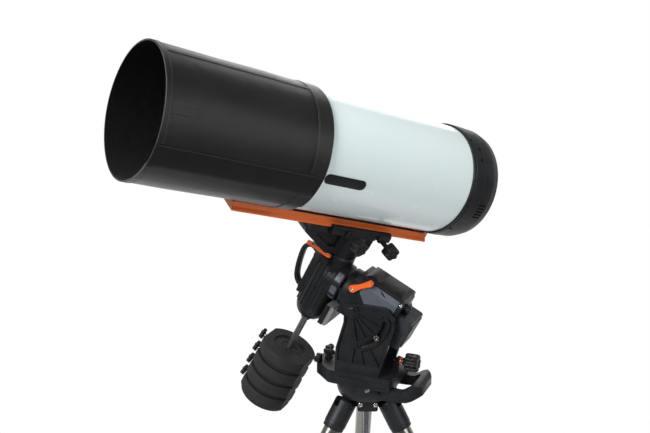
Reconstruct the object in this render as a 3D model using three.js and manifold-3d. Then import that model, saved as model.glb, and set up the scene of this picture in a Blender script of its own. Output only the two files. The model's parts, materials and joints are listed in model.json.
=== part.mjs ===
// A prime-focus telescope tube on a German equatorial mount and a three-legged field tripod.
// Millimetres, +Z up. +X points away from the pole, so the polar axis climbs towards -X.
// Everything is first laid out around the latitude pivot, the bolt that the mount head tilts on,
// and the whole is then set down so that the origin lies on the floor under its middle.
import * as THREE from "three";
import { mergeVertices } from "three/addons/utils/BufferGeometryUtils.js";
import Module from "manifold-3d";

// Driving dimensions.
const gap = 0.3; // between pieces that touch
const latitude = 27.2; // tilt of the polar axis above the horizon, degrees
const tubeTurn = 54.9; // turn of the tube about the declination axis from the pole, degrees
const pivotHeight = 1224; // latitude pivot above the floor
const polarRise = 25; // polar axis above the pivot, square to the axis
const decReach = 130.2; // declination axis ahead of the pivot, along the polar axis
const azimuthX = 22; // azimuth and tripod axis from the pivot

const tubeRadius = 158.75;
const tubeWall = 3;
const tubeRise = 372.2; // tube axis above the polar axis
const tubeRear = -188.8; // joint of the tube and the rear cell, measured from the declination axis
const tubeFront = 398;
const cellFront = 440;
const cellRear = -295.1;
const cellRadius = 163.9;
const shieldRadius = 167.5;
const shieldWall = 4;
const shieldRear = 310.3;
const shieldFront = 764.6;

const railBottom = 181.5; // dovetail rail above the polar axis
const railTop = 203.2;
const railHalf = 50.5;
const railRear = -238;
const railFront = 440;

const shaftRadius = 10;
const weightRadius = 88.8;
const weightThick = 49.6;
const weightPitch = 50;
const weightCount = 4;
const weightTop = -287.3;
const weightFlat = 77; // the two flats, from the shaft's axis

const plateInner = 66.5;
const plateOuter = 80.5;
const housingHalf = 66;
const deckTop = -188;
const deckBottom = -228;
const drumBottom = -276;
const drumRadius = 92;
const slotRadius = 104.7;
const boltAngle = -40; // the lock bolt's place on the slot, degrees
const slotHigh = -13;
const slotLow = -73;

const hingeRadius = 76;
const hingeDrop = -298;
const hubBottom = -318;
const splay = 31.7; // legs from the vertical, degrees
const legRadius = 25.4;
const legAzimuths = { right: -6.4, back: 113.6, left: 233.6 };

const radians = THREE.MathUtils.degToRad;

const wasm = await Module();
wasm.setup();

// ---- Materials ----

function finish(color, roughness, metalness) {
  return new THREE.MeshStandardMaterial({ color, roughness, metalness });
}

const blackCasting = () => finish(0x1b1c1f, 0.55, 0.3);
const slateCasting = () => finish(0x4a4e5a, 0.5, 0.4);
const blackPlastic = () => finish(0x141416, 0.6, 0.0);
const orangePaint = () => finish(0xe8551a, 0.45, 0.1);
const orangeAnodise = () => finish(0xb0490f, 0.35, 0.7);
const brightSteel = () => finish(0xc9ccd0, 0.25, 1.0);
const darkSteel = () => finish(0x6b6b6b, 0.35, 0.9);
const paleEnamel = () => finish(0xdfe9e8, 0.25, 0.1);
const castIron = () => finish(0x2b2b2c, 0.75, 0.2);
const bronze = () => finish(0xa9823f, 0.4, 0.9);
const glass = () => finish(0x9fb8b8, 0.05, 0.0);
const mirrorGlass = () => finish(0xd8dde0, 0.05, 1.0);
const blackFabric = () => finish(0x1c1c1d, 0.8, 0.0);

// ---- Solids ----

// A closed geometry as a manifold solid: only the positions are kept, and shared vertices are merged.
function solid(geometry) {
  const bare = geometry.clone();
  bare.deleteAttribute("normal");
  bare.deleteAttribute("uv");
  const merged = mergeVertices(bare, 1e-4);
  const mesh = new wasm.Mesh({
    numProp: 3,
    vertProperties: merged.attributes.position.array,
    triVerts: new Uint32Array(merged.index.array),
  });
  return new wasm.Manifold(mesh);
}

function geometryOf(shape) {
  const mesh = shape.getMesh();
  const geometry = new THREE.BufferGeometry();
  geometry.setAttribute("position", new THREE.BufferAttribute(mesh.vertProperties, 3));
  geometry.setIndex(new THREE.BufferAttribute(mesh.triVerts, 1));
  const flat = geometry.toNonIndexed();
  flat.computeVertexNormals();
  return flat;
}

function join(first, ...others) {
  return geometryOf(others.reduce((sum, item) => sum.add(solid(item)), solid(first)));
}

function cut(first, ...tools) {
  return geometryOf(tools.reduce((left, tool) => left.subtract(solid(tool)), solid(first)));
}

function common(first, second) {
  return geometryOf(solid(first).intersect(solid(second)));
}

// A round bar along an axis between two coordinates. u and v place it on the other two axes, in order.
function bar(axis, from, to, radius, u = 0, v = 0, sides = 16) {
  const round = new THREE.CylinderGeometry(radius, radius, to - from, sides);
  const middle = (from + to) / 2;
  if (axis === "x") round.rotateZ(-Math.PI / 2).translate(middle, u, v);
  if (axis === "y") round.translate(u, middle, v);
  if (axis === "z") round.rotateX(Math.PI / 2).translate(u, v, middle);
  return round;
}

function block(x, y, z) {
  const box = new THREE.BoxGeometry(x[1] - x[0], y[1] - y[0], z[1] - z[0]);
  return box.translate((x[0] + x[1]) / 2, (y[0] + y[1]) / 2, (z[0] + z[1]) / 2);
}

function outline(points) {
  return new THREE.Shape(points.map(([a, b]) => new THREE.Vector2(a, b)));
}

function extrude(shape, depth, curveSegments = 5) {
  return new THREE.ExtrudeGeometry(shape, { depth, bevelEnabled: false, curveSegments });
}

// A flat outline in X and Y, with height in Z.
function slabXY(shape, z) {
  return extrude(shape, z[1] - z[0]).translate(0, 0, z[0]);
}

// A flat outline in X and Z, with width in Y.
function slabXZ(shape, y) {
  return extrude(shape, y[1] - y[0]).rotateX(Math.PI / 2).translate(0, y[1], 0);
}

// A ring or disc turned about Z from a closed profile of [radius, z] points.
function turned(profile, sides = 32) {
  const points = profile.map(([radius, z]) => new THREE.Vector2(radius, z));
  if (THREE.ShapeUtils.area(points) < 0) points.reverse();
  return new THREE.LatheGeometry(points, sides).rotateX(Math.PI / 2);
}

function ring(outer, inner, z, sides = 32) {
  const profile = [[inner, z[0]], [outer, z[0]], [outer, z[1]], [inner, z[1]], [inner, z[0]]];
  return turned(profile, sides);
}

// The outline of a hand knob with rounded lobes.
function lobed(radius, lobes) {
  const steps = lobes * 4;
  const points = [];
  for (let i = 0; i < steps; i += 1) {
    const angle = (i / steps) * 2 * Math.PI;
    const reach = radius * (0.9 + 0.1 * Math.cos(angle * lobes));
    points.push([reach * Math.cos(angle), reach * Math.sin(angle)]);
  }
  return outline(points);
}

// A lobed hand knob with its stem, standing up the Z axis from a face at z = 0.
function knob(radius, lobes, stem, thick, stemRadius) {
  const head = slabXY(lobed(radius, lobes), [stem, stem + thick]);
  return join(head, bar("z", 0, stem + 1, stemRadius, 0, 0, 12));
}

// The same geometry with its Z axis laid along a direction and its foot at a point.
function laid(geometry, direction, foot) {
  const along = new THREE.Vector3(...direction).normalize();
  const turn = new THREE.Quaternion().setFromUnitVectors(new THREE.Vector3(0, 0, 1), along);
  return geometry.applyQuaternion(turn).translate(...foot);
}

function piece(name, geometry, material) {
  const mesh = new THREE.Mesh(geometry, material);
  mesh.name = name;
  return mesh;
}

// ---- Tripod, around the azimuth axis ----

// A leg's own frame: Z runs down the leg from its hinge and Y along the hinge pin.
function legFrame(azimuth) {
  const frame = new THREE.Group();
  frame.position.set(
    hingeRadius * Math.cos(radians(azimuth)),
    hingeRadius * Math.sin(radians(azimuth)),
    hingeDrop,
  );
  frame.rotation.set(0, Math.PI - radians(splay), radians(azimuth), "ZYX");
  return frame;
}

const lugHalf = 12;
const sleeveTop = -12;
const sleeveEnd = 82;
const slotFloor = 16; // bottom of the sleeve's fork, past the hinge pin
const legTop = 30;
const collarTop = 690;
const collarEnd = 740;
const footEnd = 1080;

// The hub: a flange under the base, a core, a lug for each leg, and a pad between each pair of legs.
function tripodHub() {
  const flangeBottom = drumBottom - 9;
  let hub = join(
    bar("z", hubBottom, drumBottom - gap, 38, 0, 0, 24),
    bar("z", flangeBottom, drumBottom - gap, 56, 0, 0, 24),
  );
  for (const azimuth of Object.values(legAzimuths)) {
    const lug = join(
      block([30, hingeRadius], [-lugHalf, lugHalf], [hingeDrop - 13, hingeDrop + 13]),
      bar("y", -lugHalf, lugHalf, 13, hingeRadius, hingeDrop, 16),
    );
    const bored = cut(lug, bar("y", -20, 20, 5.3, hingeRadius, hingeDrop, 12));
    const pad = block([30, 72], [-30, 30], [hingeDrop - 10, drumBottom - gap]);
    hub = join(hub, bored.rotateZ(radians(azimuth)), pad.rotateZ(radians(azimuth - 60)));
  }
  return piece("tripod_hub", hub, blackCasting());
}

function legSleeve(name) {
  const profile = [
    [0, sleeveTop], [30, sleeveTop], [33, sleeveTop + 4], [33, sleeveEnd], [0, sleeveEnd],
  ];
  const bore = bar("z", legTop - gap, sleeveEnd + 1, legRadius + gap, 0, 0, 24);
  const fork = block([-40, 40], [-lugHalf - gap, lugHalf + gap], [sleeveTop - 1, slotFloor]);
  const pin = bar("y", -29, 29, 5, 0, 0, 12);
  return piece(name, join(cut(turned(profile, 20), bore, fork), pin), blackCasting());
}

function upperLeg(name) {
  const tube = bar("z", legTop, collarEnd - 5, legRadius, 0, 0, 24);
  const collar = turned([[0, collarTop], [33, collarTop + 4], [33, collarEnd], [0, collarEnd]], 20);
  const lug = block([25, 42], [-12, 12], [collarTop + 10, collarEnd - 4]);
  const bore = bar("z", legTop - 1, collarEnd + 1, 22.6, 0, 0, 24);
  return piece(name, cut(join(tube, collar, lug), bore), brightSteel());
}

// The lower tube and its rubber boot, cut off level where it stands on the floor.
function lowerLeg(name) {
  const tube = bar("z", 300, 1050, 21, 0, 0, 24);
  const boot = turned([[0, 1035], [24, 1035], [27, 1060], [27, footEnd + 40], [0, footEnd + 40]], 18);
  const reach = (pivotHeight + hingeDrop) / Math.cos(radians(splay));
  const floor = block([-200, 200], [-100, 100], [0, 150]);
  floor.rotateY(radians(splay));
  floor.translate(0, 0, reach);
  const bore = bar("z", 299, 1030, 18.5, 0, 0, 16);
  return piece(name, cut(join(tube, boot), floor, bore), darkSteel());
}

function clampKnob(name) {
  const middle = (collarTop + collarEnd + 6) / 2;
  return piece(name, laid(knob(17, 5, 12, 16, 5), [1, 0, 0], [42 + gap, 0, middle]), blackPlastic());
}

const trayLevel = -684;
const trayReach = 260;

function centreRod() {
  return piece("centre_rod", bar("z", -740, hubBottom - gap, 9, 0, 0, 16), brightSteel());
}

function spreaderTray() {
  let tray = bar("z", trayLevel - 6, trayLevel + 6, 80, 0, 0, 24);
  for (const azimuth of Object.values(legAzimuths)) {
    const arm = join(
      block([60, trayReach], [-14, 14], [trayLevel - 6, trayLevel + 6]),
      bar("z", trayLevel - 6, trayLevel + 6, 14, trayReach, 0, 16),
    );
    tray = join(tray, arm.rotateZ(radians(azimuth)));
  }
  const bore = bar("z", trayLevel - 10, trayLevel + 10, 9.5, 0, 0, 16);
  return piece("spreader_tray", cut(tray, bore), blackCasting());
}

function trayKnob() {
  const top = trayLevel - 6 - gap;
  const head = slabXY(lobed(30, 6), [top - 22, top]);
  const bore = bar("z", top - 30, top + 5, 9.5, 0, 0, 16);
  return piece("tray_knob", cut(head, bore), blackPlastic());
}

function tripod() {
  const stand = new THREE.Group();
  stand.position.x = azimuthX;
  stand.add(tripodHub(), centreRod(), spreaderTray(), trayKnob());
  for (const [side, azimuth] of Object.entries(legAzimuths)) {
    const leg = legFrame(azimuth);
    leg.name = `leg_${side}_frame`;
    leg.add(legSleeve(`leg_sleeve_${side}`), upperLeg(`upper_leg_${side}`));
    leg.add(lowerLeg(`lower_leg_${side}`), clampKnob(`clamp_knob_${side}`));
    stand.add(leg);
  }
  return stand;
}

// ---- Azimuth base with its side plates ----

// The base's outline from above: a narrow nose towards the pole and full width between the plates.
function deckOutline() {
  return outline([
    [-132, -24], [-125, -37], [-72, -84], [-52, -88], [112, -88], [126, -76],
    [126, 76], [112, 88], [-52, 88], [-72, 84], [-125, 37], [-132, 24],
  ]);
}

// The carrying loop: a squared loop from above, cut to the rising band that it makes from the side.
function carryLoop() {
  const loop = outline([[95, -80], [180, -80], [210, -45], [210, 45], [180, 80], [95, 80]]);
  loop.holes.push(outline([
    [95.1, -52], [166, -52], [180, -38], [180, 38], [166, 52], [95.1, 52],
  ]));
  const plan = slabXY(loop, [-300, -150]);
  const side = outline([
    [90, -258], [140, -256], [178, -250], [210, -236], [210, -212], [194, -203],
    [170, -214], [150, -224], [112, deckBottom + 6], [90, deckBottom + 6],
  ]);
  return common(plan, slabXZ(side, [-100, 100]));
}

function azimuthBase() {
  const deck = slabXY(deckOutline(), [deckBottom, deckTop]);
  const bowl = turned([
    [0, deckBottom + 1], [drumRadius, deckBottom + 1], [drumRadius - 2, drumBottom + 20],
    [drumRadius - 8, drumBottom], [0, drumBottom],
  ], 28).translate(azimuthX, 0, 0);
  const lug = block([112, 126], [-12, 12], [deckTop - 1, -150]);
  const posts = [-1, 1].map((side) =>
    block([-128, -112], [side * 34 - 5, side * 34 + 5], [deckTop - 1, -166]),
  );
  const screwHole = bar("x", 100, 130, 6.4, 0, -160, 12);
  const casting = cut(join(deck, bowl, carryLoop(), lug, ...posts), screwHole);
  return piece("azimuth_base", casting, blackCasting());
}

function plateOutline(inset) {
  const points = [
    [-14, 18], [2, 24.5], [99, 23], [122, 8], [133, -23], [116, -86], [86, deckTop + gap],
    [-51, deckTop + gap], [-48, -118], [-24, -36], [-22, 0],
  ];
  const centre = [40, -75];
  const size = 1 - inset / 75;
  const shrunk = ([x, z]) => [centre[0] + (x - centre[0]) * size, centre[1] + (z - centre[1]) * size];
  return outline(points.map(shrunk));
}

// A curved band about the pivot between two radii and two angles, with round ends when it is a slot.
function arcBand(inner, outer, high, low) {
  const middle = (inner + outer) / 2;
  const end = (outer - inner) / 2;
  const band = new THREE.Shape();
  band.absarc(0, 0, outer, radians(low), radians(high), false);
  const capAt = (angle) => [middle * Math.cos(radians(angle)), middle * Math.sin(radians(angle))];
  band.absarc(...capAt(high), end, radians(high), radians(high + 180), false);
  band.absarc(0, 0, inner, radians(high), radians(low), true);
  band.absarc(...capAt(low), end, radians(low + 180), radians(low + 360), false);
  return band;
}

const slotHalf = 7;

// One side plate: a web with a raised rim, ribs, a slot surround and a pivot boss. side is -1 near, 1 far.
function sidePlate(name, side) {
  const between = (near, far) => (side < 0 ? [-far, -near] : [near, far]);
  const through = between(plateInner - 10, plateOuter + 20);
  const raised = between(plateInner + 7.5, plateOuter);
  const rimRing = cut(slabXZ(plateOutline(0), raised), slabXZ(plateOutline(6), through));
  const web = slabXZ(plateOutline(0), between(plateInner, plateInner + 8));
  const surround = slabXZ(arcBand(slotRadius - 15, slotRadius + 15, slotHigh, slotLow), raised);
  const bossSpan = between(plateInner, plateOuter + 3);
  const boss = bar("y", bossSpan[0], bossSpan[1], 18, 0, 0, 24);
  const ribs = [-4, -24, -42, -60, -80].map((angle) =>
    block([14, slotRadius - 8], raised, [-2, 2]).rotateY(-radians(angle)),
  );
  const braces = [[8, -118, -100], [62, -118, -60]].map(([x, z, angle]) =>
    block([-2, 62], raised, [-2, 2]).rotateY(-radians(angle)).translate(x, 0, z),
  );
  const footOutline = outline([[-49, -158], [98, -158], [86, deckTop + gap], [-51, deckTop + gap]]);
  const body = join(web, rimRing, surround, ...ribs, ...braces, slabXZ(footOutline, raised));
  const trimmed = join(common(body, slabXZ(plateOutline(0), through)), boss);
  const slot = slabXZ(arcBand(slotRadius - slotHalf, slotRadius + slotHalf, slotHigh, slotLow), through);
  const pinHole = bar("y", through[0], through[1], 9.3, 0, 0, 20);
  return piece(name, cut(trimmed, slot, pinHole), blackCasting());
}

function pivotPin() {
  const shank = bar("y", -plateOuter - 3.5, plateOuter + 3.5, 9, 0, 0, 20);
  const heads = [-1, 1].map((side) => {
    const face = side * (plateOuter + 3 + gap);
    const end = side * (plateOuter + 9);
    return bar("y", Math.min(face, end), Math.max(face, end), 13, 0, 0, 6);
  });
  return piece("latitude_pivot_pin", join(shank, ...heads), darkSteel());
}

// A wing knob on the azimuth clamp and the two opposed azimuth screws beside it.
const azimuthScrewLevel = -176;

function azimuthLockKnob() {
  const place = [-104, 0, deckTop + gap];
  return piece("azimuth_lock_knob", laid(knob(20, 5, 12, 14, 6), [0, 0, 1], place), blackPlastic());
}

function azimuthScrew(name, side) {
  const foot = [-120, side * (39 + gap), azimuthScrewLevel];
  return piece(name, laid(knob(11, 5, 6, 14, 5), [0, side, 0], foot), blackPlastic());
}

const latitudeScrewLevel = -160;

function latitudeKnob() {
  const head = slabXY(lobed(28, 8), [142, 182]);
  const nose = bar("z", 126 + gap, 143, 11, 0, 0, 20);
  const screw = bar("z", 108, 130, 6, 0, 0, 12);
  const along = join(head, nose, screw).rotateY(Math.PI / 2);
  return piece("latitude_knob", along.translate(0, 0, latitudeScrewLevel), blackPlastic());
}

function azimuthHead() {
  const head = new THREE.Group();
  head.name = "azimuth_frame";
  head.add(azimuthBase(), sidePlate("side_plate_near", -1), sidePlate("side_plate_far", 1), pivotPin());
  head.add(azimuthLockKnob(), azimuthScrew("azimuth_screw_near", -1), azimuthScrew("azimuth_screw_far", 1));
  head.add(latitudeKnob());
  return head;
}

// ---- Polar housing: X square to both axes at home, Z up the polar axis, origin where the axes cross ----

const collarRadius = 61;
const drumFront = -68.3;
const housingFront = -88;
const housingRear = -249;
const housingTopFace = 74;
const pivotInPolar = [-polarRise, -decReach];
const boltTurn = radians(latitude + boltAngle);
const boltInPolar = [
  pivotInPolar[0] + slotRadius * Math.sin(boltTurn),
  pivotInPolar[1] - slotRadius * Math.cos(boltTurn),
];

function polarHousing() {
  const drum = bar("z", -112, drumFront, collarRadius, 0, 0, 24);
  const side = outline([
    [housingTopFace, housingFront - 8], [housingTopFace, -238], [60, housingRear], [-66, housingRear],
    [-78, -238], [-78, -150], [-58, -120], [-58, housingFront], [52, housingFront],
  ]);
  const section = outline([
    [housingTopFace, -52], [58, -housingHalf], [-66, -housingHalf], [-78, -54],
    [-78, 54], [-66, housingHalf], [58, housingHalf], [housingTopFace, 52],
  ]);
  const casting = common(slabXZ(side, [-housingHalf, housingHalf]), slabXY(section, [-260, -80]));
  const rearCap = bar("z", -268, housingRear + 1, 15, 50, -22, 20);
  const holes = [
    bar("y", -90, 90, 9.3, pivotInPolar[0], pivotInPolar[1], 20),
    bar("y", -90, 90, 5.3, boltInPolar[0], boltInPolar[1], 16),
    bar("z", -120, -60, 19, 0, 0, 24),
    bar("z", -117, -98, 44, 0, 0, 32),
    bar("y", -34, 34, 9, -49.5, -108, 16),
  ];
  return piece("ra_housing", cut(join(drum, casting, rearCap), ...holes), blackCasting());
}

function motorCover() {
  const side = outline([
    [housingTopFace + gap, -110], [82, -112], [87, -122], [88, -134], [85, -160], [84, -196],
    [85, -206], [85, -232], [80, -244], [housingTopFace + gap, -246],
  ]);
  const section = outline([[70, -56], [78, -56], [90, -30], [90, 30], [78, 56], [70, 56]]);
  const cover = common(slabXZ(side, [-56, 56]), slabXY(section, [-260, -100]));
  return piece("ra_motor_cover", cover, blackPlastic());
}

function rearBox() {
  const front = housingRear - gap;
  const side = outline([[35, front], [35, -291], [28, -298], [-54, -298], [-61, -291], [-61, front]]);
  const box = slabXZ(side, [-52, 52]);
  const lid = slabXZ(outline([[24, -290], [24, -301], [-50, -301], [-50, -290]]), [-44, 44]);
  return piece("ra_rear_box", join(box, lid), slateCasting());
}

function leverShape(length, hub, tip) {
  const lever = new THREE.Shape();
  lever.absarc(0, 0, hub, radians(70), radians(290), false);
  lever.absarc(length, 0, tip, radians(-80), radians(80), false);
  return lever;
}

const raLever = { hub: [33.6, -100], tip: [77, -138], face: -housingHalf - gap, thick: 8 };

function polarLever() {
  const run = [raLever.tip[0] - raLever.hub[0], raLever.tip[1] - raLever.hub[1]];
  const outer = raLever.face - raLever.thick;
  const blade = slabXZ(leverShape(Math.hypot(...run), 11, 9), [outer, raLever.face]);
  blade.rotateY(-Math.atan2(run[1], run[0]));
  const cap = bar("y", outer - 3, raLever.face - 1, 6, 0, 0, 16);
  const lever = join(blade, cap).translate(raLever.hub[0], 0, raLever.hub[1]);
  return piece("ra_clutch_lever", lever, orangePaint());
}

function wormWheel() {
  const wheel = bar("z", -115, -101, 41.5, 0, 0, 36);
  const shaft = bar("z", -110, -60 - 1.5, 18, 0, 0, 24);
  return piece("ra_worm_wheel", join(wheel, shaft), bronze());
}

function worm() {
  return piece("ra_worm", bar("y", -32, 32, 7, -49.5, -108, 16), brightSteel());
}

function lockBolt() {
  const shank = bar("y", -plateOuter - 0.8, plateOuter + 0.8, 5, 0, 0, 16);
  const heads = [-1, 1].map((side) => {
    const face = side * (plateOuter + gap);
    const end = side * (plateOuter + 7);
    return bar("y", Math.min(face, end), Math.max(face, end), 9, 0, 0, 20);
  });
  const bolt = join(shank, ...heads).translate(boltInPolar[0], 0, boltInPolar[1]);
  return piece("latitude_lock_bolt", bolt, brightSteel());
}

// ---- Declination housing with its counterweights, in the same frame ----

const decTop = 80;
const decBottom = -160;
const decRadius = 52;

function decHousing() {
  const profile = [
    [0, decBottom], [20, decBottom], [34, decBottom + 8], [45, decBottom + 24],
    [decRadius, decBottom + 50], [decRadius, decTop - 6], [decRadius - 6, decTop], [0, decTop],
  ];
  const body = turned(profile, 24).rotateY(Math.PI / 2);
  const drum = bar("z", -61.2, 0, 60, 0, 0, 24);
  const nose = slabXY(outline([[-96, -30], [52, -30], [52, 30], [-96, 30]]), [10, 58]);
  const ledge = block([50, 70 - gap], [-77, -40], [0, 24]);
  const cavity = bar("x", 50, decTop + 1, 44, 0, 0, 24);
  const socket = bar("x", 30, 60, 20, 0, 0, 24);
  return piece("dec_housing", cut(join(body, drum, nose, ledge), cavity, socket), blackCasting());
}

function decMotorBox() {
  const side = outline([[-62.5, -53], [-62.5, -80], [-120, -80], [-128, -74], [-128, -60], [-120, -53]]);
  return piece("dec_motor_cover", slabXZ(side, [-58, 58]), slateCasting());
}

function decWheel() {
  const wheel = bar("x", 52, 64, 42, 0, 0, 36);
  const shaft = bar("x", 32, decTop - gap, 19, 0, 0, 24);
  return piece("dec_worm_wheel", join(wheel, shaft), bronze());
}

// The declination clutch lever lies flat on its ledge and points along the polar axis.
const decLever = { hub: [-65, 12], length: 66, base: 70, thick: 8 };

function declinationLever() {
  const flat = slabXY(leverShape(decLever.length, 10, 8), [0, decLever.thick]);
  const cap = bar("z", -2.5, 2, 6, 0, 0, 16);
  const turn = new THREE.Matrix4().makeBasis(
    new THREE.Vector3(0, 0, 1), new THREE.Vector3(0, 1, 0), new THREE.Vector3(-1, 0, 0),
  );
  const lever = join(flat, cap).applyMatrix4(turn);
  lever.translate(decLever.base + decLever.thick, decLever.hub[0], decLever.hub[1]);
  return piece("dec_clutch_lever", lever, orangePaint());
}

// A strap handle that stands off the front of the housing.
function carryHandle() {
  const route = new THREE.CatmullRomCurve3([
    new THREE.Vector3(40, 0, 58 + gap), new THREE.Vector3(47, 0, 84), new THREE.Vector3(28, 0, 102),
    new THREE.Vector3(-20, 0, 98), new THREE.Vector3(-62, 0, 86), new THREE.Vector3(-80, 0, 70),
    new THREE.Vector3(-80, 0, 58 + gap),
  ]);
  const strap = outline([[-12, -6], [-8, -8], [8, -8], [12, -6], [12, 6], [8, 8], [-8, 8], [-12, 6]]);
  const bent = new THREE.ExtrudeGeometry(strap, { extrudePath: route, steps: 22, bevelEnabled: false });
  const face = block([-120, 80], [-40, 40], [0, 58 + gap]);
  return piece("carry_handle", cut(bent, face), blackPlastic());
}

function counterweightShaft() {
  const rod = bar("x", -497, decBottom - gap, shaftRadius, 0, 0, 24);
  return piece("counterweight_shaft", rod, brightSteel());
}

// A disc with two flats, a stepped lower edge, a dished top and a bore for the shaft.
function counterweight(index) {
  const top = weightTop - index * weightPitch;
  const bottom = top - weightThick;
  const full = bar("x", bottom + 12, top, weightRadius, 0, 0, 30);
  const step = bar("x", bottom, bottom + 13, weightRadius - 4, 0, 0, 30);
  const between = block([bottom - 1, top + 1], [-100, 100], [-weightFlat, weightFlat]);
  const dish = bar("x", top - 4, top + 1, 52, 0, 0, 20);
  const bore = bar("x", bottom - 1, top + 1, shaftRadius + gap, 0, 0, 24);
  const disc = cut(common(join(full, step), between), dish, bore);
  return piece(`counterweight_${index + 1}`, disc, castIron());
}

function weightKnob(index) {
  const middle = weightTop - index * weightPitch - weightThick / 2 + 4;
  const knobSolid = laid(knob(20, 5, 13, 11, 5), [0, 0, 1], [middle, 0, weightFlat + gap]);
  return piece(`weight_knob_${index + 1}`, knobSolid, blackPlastic());
}

function shaftStop() {
  const top = weightTop - weightCount * weightPitch - gap + 0.4;
  const disc = bar("x", top - 16, top, 20, 0, 0, 24);
  const bore = bar("x", -497 - gap, top + 1, shaftRadius + gap, 0, 0, 24);
  return piece("shaft_end_stop", cut(disc, bore), blackPlastic());
}

// ---- Saddle and tube: X up from the polar axis, Z along the tube towards its mouth ----

function saddle() {
  const plate = block([163, railBottom - gap], [-50, railHalf + 16], [-105, 185]);
  const jaw = block([170, 195], [railHalf + 0.8, railHalf + 16], [-100, 180]);
  const webSide = outline([[164, -62], [164, 187], [146, 182], [90, 84], [90, -44], [122, -60]]);
  const web = slabXZ(webSide, [-38, 38]);
  const head = bar("x", decTop + gap, 164, 50, 0, 0, 24);
  const window = slabXZ(outline([[152, 60], [152, 146], [146, 146], [112, 84], [112, 60]]), [-60, 60]);
  return piece("saddle", cut(join(plate, jaw, web, head), window), blackCasting());
}

function saddleJaw() {
  const near = -railHalf - 0.8;
  const section = outline([[166, near - 15], [186, near - 15], [194, near - 6], [194, near], [166, near]]);
  return piece("saddle_jaw", slabXY(section, [-93, 120]), blackCasting());
}

const saddleKnobStations = { rear: -54, front: 62 };

function saddleKnob(name, station) {
  const foot = [176, -railHalf - 15.8 - gap, station];
  return piece(name, laid(knob(24, 6, 48, 30, 7), [0, -1, 0], foot), blackPlastic());
}

// The dovetail rail with a saddle-shaped block under the rear cell and another under the tube.
function dovetailRail() {
  const section = outline([
    [railBottom, -railHalf], [railBottom + 4, -railHalf], [193, -44], [railTop, -44],
    [railTop, 44], [193, 44], [railBottom + 4, railHalf], [railBottom, railHalf],
  ]);
  const rail = slabXY(section, [railRear, railFront]);
  const rearBlock = cut(
    block([railTop - 1, 224], [-34, 34], [railRear + 4, tubeRear - 5]),
    bar("z", -300, 300, cellRadius + gap, tubeRise, 0, 40),
  );
  const frontBlock = cut(
    block([railTop - 1, 224], [-34, 34], [250, 290]),
    bar("z", -300, 300, tubeRadius + gap, tubeRise, 0, 40),
  );
  return piece("dovetail_rail", join(rail, rearBlock, frontBlock), orangeAnodise());
}

// Pieces of the tube are turned about its own axis and then lifted to it.
function onTube(name, geometry, material) {
  return piece(name, geometry.translate(tubeRise, 0, 0), material);
}

const tubeSides = 40;
const backPlate = -281;
const ventRadius = 43; // the recess of the cooling vent in the middle of the back

function mainTube() {
  const shell = ring(tubeRadius, tubeRadius - tubeWall, [tubeRear + gap, tubeFront], tubeSides);
  return onTube("main_tube", shell, paleEnamel());
}

function rearCell() {
  const inner = cellRadius - 8;
  const profile = [
    [30, backPlate], [inner, backPlate], [inner, tubeRear], [cellRadius, tubeRear], [cellRadius, -274],
    [154.9, cellRear], [ventRadius, cellRear], [ventRadius, -289], [30, -289], [30, backPlate],
  ];
  return onTube("rear_cell", turned(profile, tubeSides), blackCasting());
}

const focusPlace = [-92, 62];

function focusKnob() {
  const foot = [focusPlace[0], focusPlace[1], cellRear - gap];
  const handle = laid(knob(17, 8, 5, 18, 9), [0, 0, -1], foot);
  return onTube("focus_knob", handle, blackPlastic());
}

function baffleTube() {
  return onTube("baffle_tube", ring(34, 31, [backPlate + gap, -90], 32), blackPlastic());
}

function primaryMirror() {
  return onTube("primary_mirror", ring(141, 34.4, [-262, -232], tubeSides), mirrorGlass());
}

function frontCell() {
  const profile = [
    [138, tubeFront + gap], [tubeRadius, tubeFront + gap], [tubeRadius, cellFront], [144.5, cellFront],
    [144.5, 416], [138, 416], [138, tubeFront + gap],
  ];
  return onTube("front_cell", turned(profile, tubeSides), blackCasting());
}

function correctorPlate() {
  return onTube("corrector_plate", ring(144, 50, [416 + gap, 423], tubeSides), glass());
}

// The lens cell fills the corrector's middle and carries the camera flange in front.
function lensCell() {
  const profile = [
    [28, 392], [49.5, 392], [49.5, 424], [58, 424], [58, 446], [44, 456], [44, 498],
    [38, 502], [38, 520], [28, 520], [28, 392],
  ];
  return onTube("lens_cell", turned(profile, 24), blackCasting());
}

function dewShield() {
  const shell = ring(shieldRadius, shieldRadius - shieldWall, [shieldRear, shieldFront], tubeSides);
  return onTube("dew_shield", shell, blackFabric());
}

function tubeGroup() {
  const group = new THREE.Group();
  group.name = "tube_frame";
  group.rotation.x = radians(tubeTurn);
  group.add(saddle(), saddleJaw(), dovetailRail(), mainTube(), rearCell(), focusKnob());
  for (const [end, station] of Object.entries(saddleKnobStations)) {
    group.add(saddleKnob(`saddle_knob_${end}`, station));
  }
  group.add(baffleTube(), primaryMirror(), frontCell(), correctorPlate(), lensCell(), dewShield());
  return group;
}

function rotor() {
  const group = new THREE.Group();
  group.add(decHousing(), decMotorBox(), decWheel(), declinationLever(), carryHandle(), wormWheel());
  group.add(counterweightShaft(), shaftStop(), tubeGroup());
  for (let index = 0; index < weightCount; index += 1) group.add(counterweight(index), weightKnob(index));
  return group;
}

function polarGroup() {
  const tilt = new THREE.Group();
  tilt.rotation.y = -radians(90 - latitude);
  const polar = new THREE.Group();
  polar.name = "polar_frame";
  polar.position.set(polarRise, 0, decReach);
  polar.add(polarHousing(), motorCover(), rearBox(), polarLever(), worm(), lockBolt(), rotor());
  tilt.add(polar);
  return tilt;
}

// ---- The whole ----

const telescope = new THREE.Group();
const laidOut = new THREE.Group();
laidOut.name = "pivot_frame";
laidOut.add(tripod(), azimuthHead(), polarGroup());
telescope.add(laidOut);

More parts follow.
